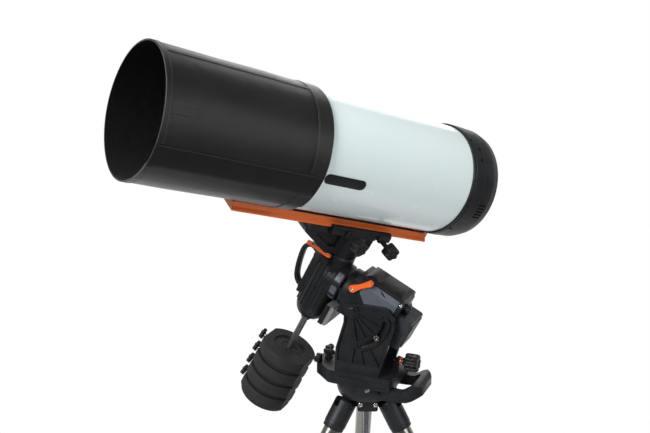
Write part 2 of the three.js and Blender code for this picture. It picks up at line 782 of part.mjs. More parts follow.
// The origin lies on the floor under the middle of the whole outline.
telescope.updateMatrixWorld(true);
const extent = new THREE.Box3().setFromObject(laidOut, true);
const middle = extent.getCenter(new THREE.Vector3());
laidOut.position.set(-middle.x, -middle.y, -extent.min.z);
telescope.updateMatrixWorld(true);

export default telescope;
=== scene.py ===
"""A prime-focus telescope on a German equatorial mount and a field tripod.

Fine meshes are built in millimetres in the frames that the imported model's joints give (the tripod, the
latitude pivot, the polar and counterweight axes, the tube) and are then set down in metres.
"""

import json
import math

import bmesh
import bpy
from mathutils import Matrix, Vector, noise


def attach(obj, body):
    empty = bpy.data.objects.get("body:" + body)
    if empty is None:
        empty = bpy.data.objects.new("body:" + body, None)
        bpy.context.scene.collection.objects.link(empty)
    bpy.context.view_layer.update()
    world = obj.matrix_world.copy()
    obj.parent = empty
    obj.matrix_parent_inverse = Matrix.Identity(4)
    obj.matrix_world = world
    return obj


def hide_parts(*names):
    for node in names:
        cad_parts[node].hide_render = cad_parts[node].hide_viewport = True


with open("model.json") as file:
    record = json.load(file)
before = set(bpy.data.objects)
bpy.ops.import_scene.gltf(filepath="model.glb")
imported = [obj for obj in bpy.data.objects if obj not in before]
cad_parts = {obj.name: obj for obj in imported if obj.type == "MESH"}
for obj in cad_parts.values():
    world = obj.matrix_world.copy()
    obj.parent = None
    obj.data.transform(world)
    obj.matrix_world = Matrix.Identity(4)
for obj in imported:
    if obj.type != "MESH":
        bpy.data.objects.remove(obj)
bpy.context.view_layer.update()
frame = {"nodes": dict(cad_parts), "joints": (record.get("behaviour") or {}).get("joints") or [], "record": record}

MM = 0.001
JOINTS = {joint["name"]: joint for joint in frame["joints"]}
BODY_OF = {
    node: body for body, nodes in frame["record"]["behaviour"]["bodies"].items() for node in nodes
}
SLOT_OF = {row["node"]: row["material_slot"] for row in frame["record"]["subparts"]}

# ---- Frames: millimetres, with their directions and origins from the joints ----


def axis_of(joint):
    return Vector(JOINTS[joint]["axis"]).normalized()


def place_of(joint):
    return Vector(JOINTS[joint]["pos_m"])


def local_frame(origin, x, y, z):
    """A frame whose unit is a millimetre. The origin is in metres."""
    turn = Matrix((x, y, z)).transposed().to_4x4()
    return Matrix.Translation(origin) @ turn @ Matrix.Scale(MM, 4)


WORLD_X = Vector((1, 0, 0))
WORLD_Y = Vector((0, 1, 0))
WORLD_Z = Vector((0, 0, 1))
POLE = axis_of("ra_axis")
DEC = axis_of("dec_axis")
SIGHT = axis_of("dew_shield_slide")
CROSSING = place_of("ra_axis")

PIVOT = local_frame(place_of("latitude_tilt"), WORLD_X, WORLD_Y, WORLD_Z)
PILLAR = local_frame(place_of("azimuth_adjust"), WORLD_X, WORLD_Y, WORLD_Z)
POLAR = local_frame(CROSSING, DEC, WORLD_Y, POLE)
SHAFT = local_frame(CROSSING, POLE, DEC.cross(POLE), DEC)
SADDLE = local_frame(CROSSING, DEC, SIGHT.cross(DEC), SIGHT)


def span(node, at):
    """A CAD node's lowest and highest corners in a frame, in that frame's millimetres."""
    back = at.inverted()
    points = [back @ vertex.co for vertex in frame["nodes"][node].data.vertices]
    low = Vector([min(point[i] for point in points) for i in range(3)])
    high = Vector([max(point[i] for point in points) for i in range(3)])
    return low, high


TUBE_LOW, TUBE_HIGH = span("main_tube", SADDLE)
TUBE_RADIUS = (TUBE_HIGH.y - TUBE_LOW.y) / 2
TUBE_RISE = (TUBE_LOW.x + TUBE_HIGH.x) / 2
TUBE = SADDLE @ Matrix.Translation((TUBE_RISE, 0, 0))

# ---- Meshes, in millimetres ----


def circle(radius, count):
    turns = [2 * math.pi * i / count for i in range(count)]
    return [(radius * math.cos(turn), radius * math.sin(turn)) for turn in turns]


def skinned(rings, close=False):
    """A closed skin over rings of points. One point is a tip. close joins the last ring to the first."""
    mesh = bmesh.new()
    made = [[mesh.verts.new(point) for point in ring] for ring in rings]
    pairs = list(zip(made, made[1:]))
    if close:
        pairs.append((made[-1], made[0]))
    for low, high in pairs:
        count = max(len(low), len(high))
        for i in range(count):
            j = (i + 1) % count
            quad = [low[i % len(low)], low[j % len(low)], high[j % len(high)], high[i % len(high)]]
            corners = list(dict.fromkeys(quad))
            if len(corners) > 2:
                mesh.faces.new(corners)
    if not close:
        for ring in (made[0], made[-1]):
            if len(ring) > 2:
                mesh.faces.new(ring)
    bmesh.ops.recalc_face_normals(mesh, faces=mesh.faces)
    return mesh


def turned(profile, sides=96, close=False):
    """A solid turned about Z from [radius, z] points."""
    rings = []
    for radius, z in profile:
        flat = circle(radius, sides) if radius > 0 else [(0, 0)]
        rings.append([(x, y, z) for x, y in flat])
    return skinned(rings, close)


def hoop(outer, inner, low, high, sides=96):
    return turned([(inner, low), (outer, low), (outer, high), (inner, high)], sides, close=True)


def laid_out(plane, a, b, height):
    """A point of a flat outline in the plane named, at a height square to it."""
    return {"xy": (a, b, height), "xz": (a, height, b), "yz": (height, a, b)}[plane]


def slab(outline, low, high, plane="xy"):
    """A flat outline with a thickness."""
    rings = [[laid_out(plane, a, b, height) for a, b in outline] for height in (low, high)]
    return skinned(rings)


def steps_between(first, last, count):
    return [first + (last - first) * i / count for i in range(count + 1)]


def mirrored(half):
    """An outline from the half of it on one side of its first axis."""
    return [(a, -b) for a, b in half] + list(reversed(half))


def ordered(first, second):
    return (min(first, second), max(first, second))


def block(x, y, z):
    return slab([(x[0], y[0]), (x[1], y[0]), (x[1], y[1]), (x[0], y[1])], z[0], z[1])


def bar(axis, low, high, radius, u=0, v=0, sides=48):
    """A round bar. u and v place it on the other two axes, in order."""
    plane = {"x": "yz", "y": "xz", "z": "xy"}[axis]
    return slab([(u + a, v + b) for a, b in circle(radius, sides)], low, high, plane)


def moved(mesh, matrix):
    mesh.transform(matrix)
    return mesh


def turned_by(degrees, axis, centre=(0, 0, 0)):
    shift = Matrix.Translation(centre)
    return shift @ Matrix.Rotation(math.radians(degrees), 4, axis) @ shift.inverted()


def spun(make, angles, axis="Z"):
    """Copies of a mesh, each turned about an axis by one of the angles."""
    return [moved(make(), turned_by(angle, axis)) for angle in angles]


def lobes(radius, count, depth):
    """The outline of a hand knob with rounded lobes."""
    points = count * 12
    outline = []
    for i in range(points):
        turn = 2 * math.pi * i / points
        wave = math.cos(turn * count)
        reach = radius * (1 - depth + depth * math.copysign(abs(wave) ** 0.7, wave))
        outline.append((reach * math.cos(turn), reach * math.sin(turn)))
    return outline


def knob_head(radius, count, low, thick, depth=0.1):
    """A moulded knob head with eased edges and a dished end."""
    steps = [
        (0.55, 0), (0.86, 0), (0.95, 0.06), (1, 0.2), (1, 0.74), (0.96, 0.88), (0.88, 0.97), (0.78, 1),
        (0.5, 1), (0.42, 0.93), (0.12, 0.93),
    ]
    outline = lobes(radius, count, depth)
    rings = []
    for scale, share in steps:
        rings.append([(x * scale, y * scale, low + thick * share) for x, y in outline])
    return skinned(rings)


def as_object(mesh):
    data = bpy.data.meshes.new("working")
    mesh.to_mesh(data)
    mesh.free()
    made = bpy.data.objects.new("working", data)
    bpy.context.scene.collection.objects.link(made)
    return made


def combined(parts, cuts=(), within=None):
    """Meshes joined into one solid, kept within another, with cuts taken from it."""
    base = as_object(parts[0])
    tools = [(part, "UNION") for part in parts[1:]]
    tools += [(within, "INTERSECT")] if within else []
    tools += [(cut, "DIFFERENCE") for cut in cuts]
    helpers = []
    for tool, operation in tools:
        helper = as_object(tool)
        modifier = base.modifiers.new(operation, "BOOLEAN")
        modifier.object = helper
        modifier.operation = operation
        modifier.solver = "EXACT"
        helpers.append(helper)
    depsgraph = bpy.context.evaluated_depsgraph_get()
    data = bpy.data.meshes.new_from_object(base.evaluated_get(depsgraph))
    result = bmesh.new()
    result.from_mesh(data)
    for spent in [base, *helpers]:
        bpy.data.meshes.remove(spent.data)
    bpy.data.meshes.remove(data)
    bmesh.ops.remove_doubles(result, verts=result.verts, dist=0.01)
    bmesh.ops.dissolve_limit(result, angle_limit=math.radians(0.5), verts=result.verts, edges=result.edges)
    return result


# ---- Pieces ----


def piece(name, mesh, at, slot, body, stands_for=(), edge=0.8, look=None):
    """A finished piece: set down in metres, eased along its edges, painted, and riding on its body."""
    place = mesh.verts.layers.float_vector.new("local_mm")
    for vertex in mesh.verts:
        vertex[place] = vertex.co
    mesh.transform(at)
    for face in mesh.faces:
        face.smooth = True
    data = bpy.data.meshes.new(name)
    mesh.to_mesh(data)
    mesh.free()
    made = bpy.data.objects.new(name, data)
    bpy.context.scene.collection.objects.link(made)
    data.materials.append(look or LOOKS[slot])
    bevel = made.modifiers.new("eased edges", "BEVEL")
    bevel.width = max(edge, 0.05) * MM
    bevel.segments = 2 if edge > 0.3 else 1
    bevel.limit_method = "ANGLE"
    bevel.angle_limit = math.radians(28)
    bevel.harden_normals = True
    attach(made, body)
    if stands_for:
        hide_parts(*stands_for)
    return made


def remade(node, mesh, at, edge=0.8, look=None):
    """A finer mesh that stands for one CAD node."""
    return piece(f"{node}_fine", mesh, at, SLOT_OF[node], BODY_OF[node], [node], edge, look)


def detail(name, mesh, at, slot, on, edge=0.4, look=None):
    """A small piece without a CAD node of its own, fastened to a node."""
    return piece(name, mesh, at, slot, BODY_OF[on], (), edge, look)


# ---- Materials ----


class Look:
    """A material and its node tree, with short ways to add what most surfaces need."""

    def __init__(self, name, roughness, metallic=0.0, **sockets):
        self.material = bpy.data.materials.new(name)
        self.material.use_nodes = True
        self.tree = self.material.node_tree
        self.shader = self.tree.nodes["Principled BSDF"]
        self.shader.inputs["Roughness"].default_value = roughness
        self.shader.inputs["Metallic"].default_value = metallic
        for socket, value in sockets.items():
            self.shader.inputs[socket.replace("_", " ")].default_value = value

    def node(self, kind, **settings):
        made = self.tree.nodes.new(kind)
        for key, value in settings.items():
            setattr(made, key, value)
        return made

    def join(self, source, target):
        self.tree.links.new(source, target)

    def places(self, stretch=(1, 1, 1), local=False):
        """Where a point is: in metres on the object, or in millimetres in the piece's own frame."""
        mapping = self.node("ShaderNodeMapping")
        mapping.inputs["Scale"].default_value = stretch
        if local:
            source = self.node("ShaderNodeAttribute", attribute_name="local_mm").outputs["Vector"]
        else:
            source = self.node("ShaderNodeTexCoord").outputs["Object"]
        self.join(source, mapping.inputs["Vector"])
        return mapping.outputs["Vector"]

    def wrapped(self):
        """Millimetres around the Z axis of the piece's frame and along it, for what wraps a tube."""
        local = self.node("ShaderNodeAttribute", attribute_name="local_mm").outputs["Vector"]
        parts = self.node("ShaderNodeSeparateXYZ")
        self.join(local, parts.inputs[0])
        turn = self.node("ShaderNodeMath", operation="ARCTAN2")
        self.join(parts.outputs["Y"], turn.inputs[0])
        self.join(parts.outputs["X"], turn.inputs[1])
        around = self.node("ShaderNodeMath", operation="MULTIPLY")
        around.inputs[1].default_value = TUBE_RADIUS
        self.join(turn.outputs[0], around.inputs[0])
        both = self.node("ShaderNodeCombineXYZ")
        self.join(around.outputs[0], both.inputs["X"])
        self.join(parts.outputs["Z"], both.inputs["Y"])
        return both.outputs[0]

    def grain(self, place, scale, detail=4.0, roughness=0.55):
        texture = self.node("ShaderNodeTexNoise")
        texture.inputs["Scale"].default_value = scale
        texture.inputs["Detail"].default_value = detail
        texture.inputs["Roughness"].default_value = roughness
        self.join(place, texture.inputs["Vector"])
        return texture.outputs["Fac"]

    def cells(self, place, scale, feature="F1"):
        texture = self.node("ShaderNodeTexVoronoi", feature=feature)
        texture.inputs["Scale"].default_value = scale
        self.join(place, texture.inputs["Vector"])
        return texture.outputs["Distance"]

    def waves(self, place, scale, direction="X", distortion=0.0):
        texture = self.node("ShaderNodeTexWave", bands_direction=direction)
        texture.inputs["Scale"].default_value = scale
        texture.inputs["Distortion"].default_value = distortion
        self.join(place, texture.inputs["Vector"])
        return texture.outputs["Fac"]

    def colours(self, amount, stops):
        ramp = self.node("ShaderNodeValToRGB")
        elements = ramp.color_ramp.elements
        while len(elements) < len(stops):
            elements.new(0.5)
        for element, (position, colour) in zip(elements, stops):
            element.position = position
            element.color = (*colour, 1)
        self.join(amount, ramp.inputs["Fac"])
        self.join(ramp.outputs["Color"], self.shader.inputs["Base Color"])

    def between(self, amount, low, high, socket="Roughness"):
        spread = self.node("ShaderNodeMapRange")
        spread.inputs["To Min"].default_value = low
        spread.inputs["To Max"].default_value = high
        self.join(amount, spread.inputs["Value"])
        self.join(spread.outputs["Result"], self.shader.inputs[socket])

    def relief(self, *layers):
        """Bumps laid on each other: pairs of a height and its depth in millimetres."""
        previous = None
        for height, depth in layers:
            bump = self.node("ShaderNodeBump")
            bump.inputs["Strength"].default_value = 1.0
            bump.inputs["Distance"].default_value = depth * MM
            self.join(height, bump.inputs["Height"])
            if previous:
                self.join(previous, bump.inputs["Normal"])
            previous = bump.outputs["Normal"]
        self.join(previous, self.shader.inputs["Normal"])


def painted_casting(name, dark, light, roughness, metallic=0.1):
    """Satin paint on a casting: soft mottling, fine grain in the paint, a little dust in the roughness."""
    look = Look(name, roughness, metallic, Specular_IOR_Level=0.32)
    place = look.places()
    mottling = look.grain(place, 28, 6)
    fine = look.grain(place, 900, 2)
    look.colours(mottling, [(0.3, dark), (0.7, light)])
    look.between(look.grain(place, 60, 5), roughness - 0.1, roughness + 0.12)
    look.relief((mottling, 0.25), (fine, 0.12))
    return look.material


def moulded_plastic(name, dark, light, roughness):
    """Moulded plastic with a fine leather-like texture."""
    look = Look(name, roughness, 0.0, Specular_IOR_Level=0.33)
    place = look.places()
    look.colours(look.grain(place, 35, 5), [(0.3, dark), (0.75, light)])
    look.between(look.grain(place, 90, 4), roughness - 0.08, roughness + 0.12)
    look.relief((look.cells(place, 1100, "SMOOTH_F1"), 0.12), (look.grain(place, 2500, 2), 0.05))
    return look.material


def orange_paint():
    """Orange powder coat with its faint orange-peel surface."""
    look = Look("orange_powder_coat", 0.38, 0.0, Coat_Weight=0.15, Coat_Roughness=0.3)
    place = look.places()
    look.colours(look.grain(place, 40, 5), [(0.3, (0.80, 0.11, 0.014)), (0.7, (0.94, 0.155, 0.02))])
    look.between(look.grain(place, 120, 3), 0.32, 0.5)
    look.relief((look.grain(place, 420, 2), 0.1))
    return look.material


def orange_anodised():
    """Extruded aluminium with burnt orange anodising, drawn along its length."""
    look = Look("orange_anodising", 0.36, 0.1)
    streaks = look.grain(look.places((0.9, 0.9, 0.012), local=True), 1.4, 6, 0.6)
    clouds = look.grain(look.places(), 14, 4)
    look.colours(clouds, [(0.25, (0.78, 0.15, 0.026)), (0.75, (0.9, 0.185, 0.034))])
    look.between(streaks, 0.26, 0.5)
    look.relief((streaks, 0.05))
    return look.material


def tube_enamel():
    """Pale bluish gloss enamel with faint orange peel and a trace of handling haze."""
    look = Look("tube_enamel", 0.24, 0.0, Coat_Weight=0.4, Coat_Roughness=0.12)
    place = look.places()
    look.colours(look.grain(place, 5, 4), [(0.25, (0.78, 0.89, 0.895)), (0.75, (0.81, 0.915, 0.92))])
    look.between(look.grain(place, 30, 5), 0.22, 0.3)
    look.relief((look.grain(place, 170, 2), 0.012))
    return look.material


def flocked_black():
    """The dull black coat inside the optics."""
    look = Look("flocked_black", 0.92, 0.0, Specular_IOR_Level=0.1, Sheen_Weight=0.02, Sheen_Roughness=0.6)
    place = look.places()
    look.colours(look.grain(place, 50, 6), [(0.3, (0.002, 0.002, 0.0024)), (0.8, (0.006, 0.006, 0.0066))])
    look.relief((look.grain(place, 1500, 3), 0.25))
    return look.material


def drawn_steel(name, dark, light, low, high, metallic=1.0):
    """Polished tube or bar: fine streaks along its length."""
    look = Look(name, low, metallic)
    streaks = look.grain(look.places((1.0, 1.0, 0.004), local=True), 1.1, 5, 0.6)
    smears = look.grain(look.places(), 22, 4)
    look.colours(streaks, [(0.3, dark), (0.7, light)])
    look.between(smears, low, high)
    look.relief((streaks, 0.02))
    return look.material


def turned_metal(name, dark, light, low, high):
    """Turned metal: fine rings round the axis."""
    look = Look(name, low, 1.0)
    rings = look.grain(look.places((0.05, 0.05, 4.0), local=True), 3.0, 4)
    look.colours(rings, [(0.3, dark), (0.7, light)])
    look.between(look.grain(look.places(), 60, 3), low, high)
    look.relief((rings, 0.03))
    return look.material


def weight_iron():
    """Cast iron under rough matt black paint: sand-cast pits, broad mottling and rubbed high spots."""
    look = Look("weight_iron", 0.72, 0.0, Specular_IOR_Level=0.25)
    place = look.places()
    broad = look.grain(place, 24, 8, 0.6)
    pits = look.cells(place, 420)
    stops = [(0.25, (0.010, 0.010, 0.0105)), (0.6, (0.016, 0.016, 0.0165)), (0.85, (0.026, 0.0255, 0.025))]
    look.colours(broad, stops)
    look.between(look.grain(place, 150, 4), 0.55, 0.85)
    look.relief((broad, 0.5), (pits, 0.3), (look.grain(place, 1300, 2), 0.12))
    return look.material


def bronze():
    look = Look("machined_bronze", 0.35, 1.0)
    place = look.places()
    look.colours(look.grain(place, 60, 5), [(0.3, (0.36, 0.23, 0.08)), (0.7, (0.52, 0.35, 0.13))])
    look.between(look.grain(place, 200, 3), 0.25, 0.45)
    look.relief((look.grain(place, 800, 2), 0.05))
    return look.material


def corrector_glass():
    """Coated optical glass: nearly clear, with a faint green bloom and traces of dust."""
    look = Look("corrector_glass", 0.03, 0.0, Transmission_Weight=0.92, IOR=1.5, Coat_Weight=0.3)
    place = look.places()
    look.colours(look.grain(place, 12, 3), [(0.3, (0.78, 0.92, 0.88)), (0.7, (0.86, 0.95, 0.95))])
    look.between(look.grain(place, 260, 6, 0.7), 0.0, 0.08)
    return look.material


def mirror_glass():
    look = Look("mirror_glass", 0.03, 1.0)
    place = look.places()
    look.colours(look.grain(place, 15, 4), [(0.3, (0.82, 0.84, 0.86)), (0.7, (0.9, 0.91, 0.92))])
    look.between(look.grain(place, 300, 6, 0.7), 0.01, 0.07)
    return look.material


def shield_sheet():
    """The dew shield's coated sheet: a fine woven face, gentle creases and a soft uneven sheen."""
    look = Look("shield_sheet", 0.42, 0.0, Specular_IOR_Level=0.45)
    place = look.wrapped()
    across = look.waves(place, 0.9, "X", 0.4)
    along = look.waves(place, 0.9, "Y", 0.4)
    weave = look.node("ShaderNodeMath", operation="MULTIPLY")
    look.join(across, weave.inputs[0])
    look.join(along, weave.inputs[1])
    clouds = look.grain(place, 0.012, 5)
    look.colours(clouds, [(0.3, (0.002, 0.002, 0.0025)), (0.7, (0.005, 0.005, 0.006))])
    look.between(look.grain(place, 0.05, 5), 0.26, 0.36)
    creases = look.grain(place, 0.03, 3)
    look.relief((creases, 1.0), (weave.outputs[0], 0.12), (look.grain(place, 1.6, 2), 0.05))
    return look.material


def hook_tape():
    """Hook-and-loop tape: a dull fuzzy pile."""
    look = Look("hook_tape", 0.95, 0.0, Specular_IOR_Level=0.15, Sheen_Weight=0.06, Sheen_Roughness=0.7)
    place = look.wrapped()
    pile = look.grain(place, 0.5, 6, 0.7)
    look.colours(pile, [(0.3, (0.0015, 0.0015, 0.0015)), (0.75, (0.004, 0.004, 0.004))])
    look.relief((look.cells(place, 0.9), 0.5), (look.grain(place, 2.5, 3, 0.7), 0.4))
    return look.material


def sewing_thread():
    look = Look("sewing_thread", 0.7, 0.0, Sheen_Weight=0.2)
    place = look.places()
    look.colours(look.grain(place, 500, 3), [(0.3, (0.03, 0.03, 0.031)), (0.7, (0.07, 0.07, 0.072))])
    look.relief((look.grain(place, 3000, 2), 0.1))
    return look.material


def boot_rubber():
    look = Look("boot_rubber", 0.85)
    place = look.places()
    look.colours(look.grain(place, 45, 6), [(0.3, (0.012, 0.012, 0.012)), (0.75, (0.03, 0.029, 0.028))])
    look.between(look.grain(place, 110, 4), 0.72, 0.95)
    look.relief((look.grain(place, 700, 3), 0.25))
    return look.material


def index_red():
    """The dark red of the index strips in the latitude slots."""
    look = Look("index_red", 0.5)
    place = look.places()
    look.colours(look.grain(place, 80, 4), [(0.3, (0.05, 0.003, 0.003)), (0.7, (0.08, 0.005, 0.005))])
    look.relief((look.grain(place, 900, 2), 0.05))
    return look.material


BLACK = ((0.006, 0.0067, 0.0083), (0.013, 0.0142, 0.0172))
SLATE = ((0.085, 0.094, 0.115), (0.12, 0.131, 0.158))
LOOKS = {
    "black_casting": painted_casting("black_casting", *BLACK, 0.42),
    "slate_casting": painted_casting("slate_casting", *SLATE, 0.36, 0.2),
    "black_plastic": moulded_plastic("black_plastic", (0.0045, 0.0045, 0.005), (0.01, 0.01, 0.0108), 0.46),
    "orange_paint": orange_paint(),
    "orange_anodised": orange_anodised(),
    "tube_enamel": tube_enamel(),
    "polished_steel": drawn_steel("polished_steel", (0.19, 0.185, 0.172), (0.29, 0.283, 0.266), 0.2, 0.36),
    "bronze": bronze(),
    "weight_iron": weight_iron(),
    "corrector_glass": corrector_glass(),
    "mirror_glass": mirror_glass(),
    "shield_fabric": shield_sheet(),
}
GREY_CASTING = painted_casting("grey_casting", (0.17, 0.17, 0.166), (0.23, 0.23, 0.225), 0.5, 0.1)
ROD_STEEL = drawn_steel("rod_steel", (0.24, 0.245, 0.265), (0.33, 0.336, 0.36), 0.15, 0.3)
DARK_SLATE = painted_casting("dark_slate", (0.018, 0.0198, 0.024), (0.03, 0.0328, 0.039), 0.42)
DARK_FASTENER = turned_metal("dark_fastener", (0.05, 0.05, 0.052), (0.10, 0.10, 0.104), 0.25, 0.4)
SHAFT_STEEL = drawn_steel("shaft_steel", (0.13, 0.13, 0.13), (0.2, 0.2, 0.2), 0.3, 0.5, 0.9)
BRIGHT_STEEL = turned_metal("bright_fastener", (0.6, 0.6, 0.6), (0.85, 0.85, 0.85), 0.15, 0.3)
FLOCKED = flocked_black()
TAPE = hook_tape()
THREAD = sewing_thread()
RUBBER = boot_rubber()
INDEX_RED = index_red()

# ---- The tube and its cells ----

REAR_LOW, REAR_HIGH = span("rear_cell", TUBE)
CELL_RADIUS = (REAR_HIGH.y - REAR_LOW.y) / 2
CELL_BACK = REAR_LOW.z
CELL_FRONT = REAR_HIGH.z
SHIELD_LOW, SHIELD_HIGH = span("dew_shield", TUBE)
SHIELD_RADIUS = (SHIELD_HIGH.y - SHIELD_LOW.y) / 2
SHIELD_REAR = SHIELD_LOW.z
SHIELD_MOUTH = SHIELD_HIGH.z
CELL_HOLE = 4.5
VENT_HALF = 2.2
VENT_STEP = 3.6  # degrees between the side vents of a group


def around(radius, degrees, z):
    """A point round Z. On the tube, degrees are counted from the side away from the mount."""
    turn = math.radians(degrees)
    return (radius * math.cos(turn), radius * math.sin(turn), z)


def line_inside(made, radius):
    """Give the faces that look at the tube's axis from within a radius the dull black of the optics."""
    made.data.materials.append(FLOCKED)
    back = TUBE.inverted()
    for face in made.data.polygons:
        place = back @ face.center
        outward = Vector((place.x, place.y, 0)).normalized()
        inward_facing = (back.to_3x3() @ face.normal).normalized().dot(outward) < -0.5
        if inward_facing and place.xy.length < radius:
            face.material_index = 1


def main_tube():
    wall = 3
    rear = TUBE_LOW.z
    front = TUBE_HIGH.z
    profile = [
        (TUBE_RADIUS - wall, rear), (TUBE_RADIUS, rear), (TUBE_RADIUS, front), (TUBE_RADIUS - wall, front),
    ]
    tube = remade("main_tube", turned(profile, 180, close=True), TUBE, 0.6)
    line_inside(tube, TUBE_RADIUS - wall / 2)


def patch_on_tube(radius, thick, turn_range, z_range, corner, steps=24):
    """A thin rounded rectangle wrapped on a cylinder."""
    width = math.radians(turn_range[1] - turn_range[0]) * radius / 2
    length = (z_range[1] - z_range[0]) / 2
    middle = (math.radians(sum(turn_range) / 2), sum(z_range) / 2)
    outline = []
    for centre_u, centre_v, start in ((1, 1, 0), (-1, 1, 90), (-1, -1, 180), (1, -1, 270)):
        for i in range(7):
            angle = math.radians(start + 15 * i)
            u = centre_u * (width - corner) + corner * math.cos(angle)
            v = centre_v * (length - corner) + corner * math.sin(angle)
            outline.append((u, v))
    scales = [1 - i / steps for i in range(steps)]
    rings = []
    for height, shares in ((0, scales[::-1]), (thick, scales)):
        for share in shares:
            ring = []
            for u, v in outline:
                turn = middle[0] + u * share / radius
                reach = radius + height
                ring.append((reach * math.cos(turn), reach * math.sin(turn), middle[1] + v * share))
            rings.append(ring)
    return skinned(rings)


def label_plate():
    """A plain black plate with rounded ends near the front of the tube. It carries no lettering."""
    plate = patch_on_tube(TUBE_RADIUS + 0.2, 1.2, (-94.0, -84.0), (171, 302), 13.5)
    detail("label_plate", plate, TUBE, "black_plastic", "main_tube", 0.3)
    inset = patch_on_tube(TUBE_RADIUS + 1.35, 0.4, (-93.0, -85.0), (174, 299), 10.5)
    detail("label_plate_inset", inset, TUBE, "slate_casting", "main_tube", 0.1, LOOKS["black_casting"])


def rear_cell():
    """The rear cell with its groove, chamfer, fastener holes and side vents, dished in the middle."""
    rim = CELL_RADIUS
    inner = rim - 8
    back = CELL_BACK
    front = CELL_FRONT
    profile = [
        (30, back + 14), (inner, back + 14), (inner, front), (rim - 1.5, front), (rim, front - 1.5),
        (rim, front - 7), (rim - 1.4, front - 8), (rim - 1.4, front - 10), (rim, front - 11),
        (rim, back + 62), (rim - 1.2, back + 60), (rim - 1.2, back + 27), (rim - 3, back + 20),
        (rim - 9, back), (140, back), (139, back + 2), (118, back + 2), (117, back), (43, back),
        (41, back + 6), (30, back + 6),
    ]
    cuts = []
    for degrees, z in (
        (-15, -205), (-26, -221), (-38.5, -221), (-120, -207), (105, -205), (94, -221), (81.5, -221),
        (45, -205), (-165, -221), (165, -205),
    ):
        hole = bar("x", rim - 4, rim + 4, CELL_HOLE, 0, z, 24)
        cuts.append(moved(hole, turned_by(degrees, "Z")))
    for centre in (-91, 29, 149):
        for step in range(5):
            slot = block([rim - 5, rim + 4], [-VENT_HALF, VENT_HALF], [back + 30, back + 56])
            cuts.append(moved(slot, turned_by(centre + VENT_STEP * (step - 2), "Z")))
    casting = combined([turned(profile, 180, close=True)], cuts)
    remade("rear_cell", casting, TUBE, 0.7)


def rear_cell_screws():
    for index, degrees in enumerate((-60.5, 59.5, 179.5)):
        head = bar("x", CELL_RADIUS - 1, CELL_RADIUS + 1.6, 4.2, 0, -203, 24)
        socket = bar("x", CELL_RADIUS + 0.6, CELL_RADIUS + 3, 2.2, 0, -203, 6)
        screw = moved(combined([head], [socket]), turned_by(degrees, "Z"))
        name = f"rear_cell_screw_{index + 1}"
        detail(name, screw, TUBE, "polished_steel", "rear_cell", 0.3, DARK_FASTENER)


def vent_grille():
    """The guard over the vent in the middle of the back: rings and spokes."""
    low = CELL_BACK + 2
    rings = [hoop(radius + 1.4, radius - 1.4, low, low + 3, 72) for radius in (11, 20, 29, 38)]
    hub = bar("z", low, low + 3.4, 6, 0, 0, 32)
    spokes = spun(lambda: block([4, 41], [-1.6, 1.6], [low, low + 2.6]), range(0, 360, 60))
    detail("vent_grille", combined([hub, *rings, *spokes]), TUBE, "black_plastic", "rear_cell", 0.3)
    face = CELL_BACK + 8
    filter_disc = turned([(0, face), (29.5, face), (29.5, face + 2), (0, face + 2)], 48)
    detail("vent_filter", filter_disc, TUBE, "black_plastic", "rear_cell", 0.1, FLOCKED)


def back_plate_screws():
    for index in range(6):
        place = around(128, 30 + 60 * index, 0)
        head = bar("z", CELL_BACK - 1.2, CELL_BACK + 3, 4.5, place[0], place[1], 24)
        socket = bar("z", CELL_BACK - 3, CELL_BACK, 2.3, place[0], place[1], 6)
        screw = combined([head], [socket])
        name = f"back_plate_screw_{index + 1}"
        detail(name, screw, TUBE, "polished_steel", "rear_cell", 0.3, DARK_FASTENER)


def focus_knob():
    low, high = span("focus_knob", TUBE)
    middle = Matrix.Translation(((low.x + high.x) / 2, (low.y + high.y) / 2, 0))
    radius = (high.x - low.x) / 2
    head = moved(knob_head(radius, 16, 0, high.z - low.z - 5, 0.05), Matrix.Rotation(math.pi, 4, "X"))
    head = moved(head, middle @ Matrix.Translation((0, 0, high.z - 5)))
    stem = moved(turned([(8, high.z - 6), (9, high.z - 5), (9, high.z), (0, high.z)], 48), middle)
    remade("focus_knob", combined([head, stem]), TUBE, 0.3)


def optics():
    low, high = span("baffle_tube", TUBE)
    remade("baffle_tube", hoop(high.x, high.x - 3, low.z, high.z, 96), TUBE, 0.4, FLOCKED)
    low, high = span("primary_mirror", TUBE)
    radius = high.x
    bowl = [(34.4 + (radius - 34.4) * i / 16, high.z - 14 * (1 - (i / 16) ** 2)) for i in range(17)]
    remade("primary_mirror", turned([(34.4, low.z), *bowl, (radius, low.z)], 128, close=True), TUBE, 0.4)
    low, high = span("corrector_plate", TUBE)
    remade("corrector_plate", hoop(high.x, 50, low.z, high.z, 128), TUBE, 0.3)


def front_cell():
    low, high = span("front_cell", TUBE)
    radius = high.y
    face = high.z
    profile = [
        (138, low.z), (radius, low.z), (radius, low.z + 8), (radius - 1, low.z + 9),
        (radius - 1, low.z + 12), (radius, low.z + 13), (radius, face - 2), (radius - 2, face), (150, face),
        (144.5, face - 6), (144.5, face - 24), (138, face - 24),
    ]
    remade("front_cell", turned(profile, 180, close=True), TUBE, 0.5)
    for index in range(8):
        place = around(151.5, 22.5 + 45 * index, 0)
        head = turned([
            (0, face - 1), (3.4, face - 1), (3.4, face + 1.2), (2.4, face + 2), (0, face + 2),
        ], 24)
        screw = moved(head, Matrix.Translation(place))
        name = f"retaining_screw_{index + 1}"
        detail(name, screw, TUBE, "polished_steel", "front_cell", 0.1, BRIGHT_STEEL)


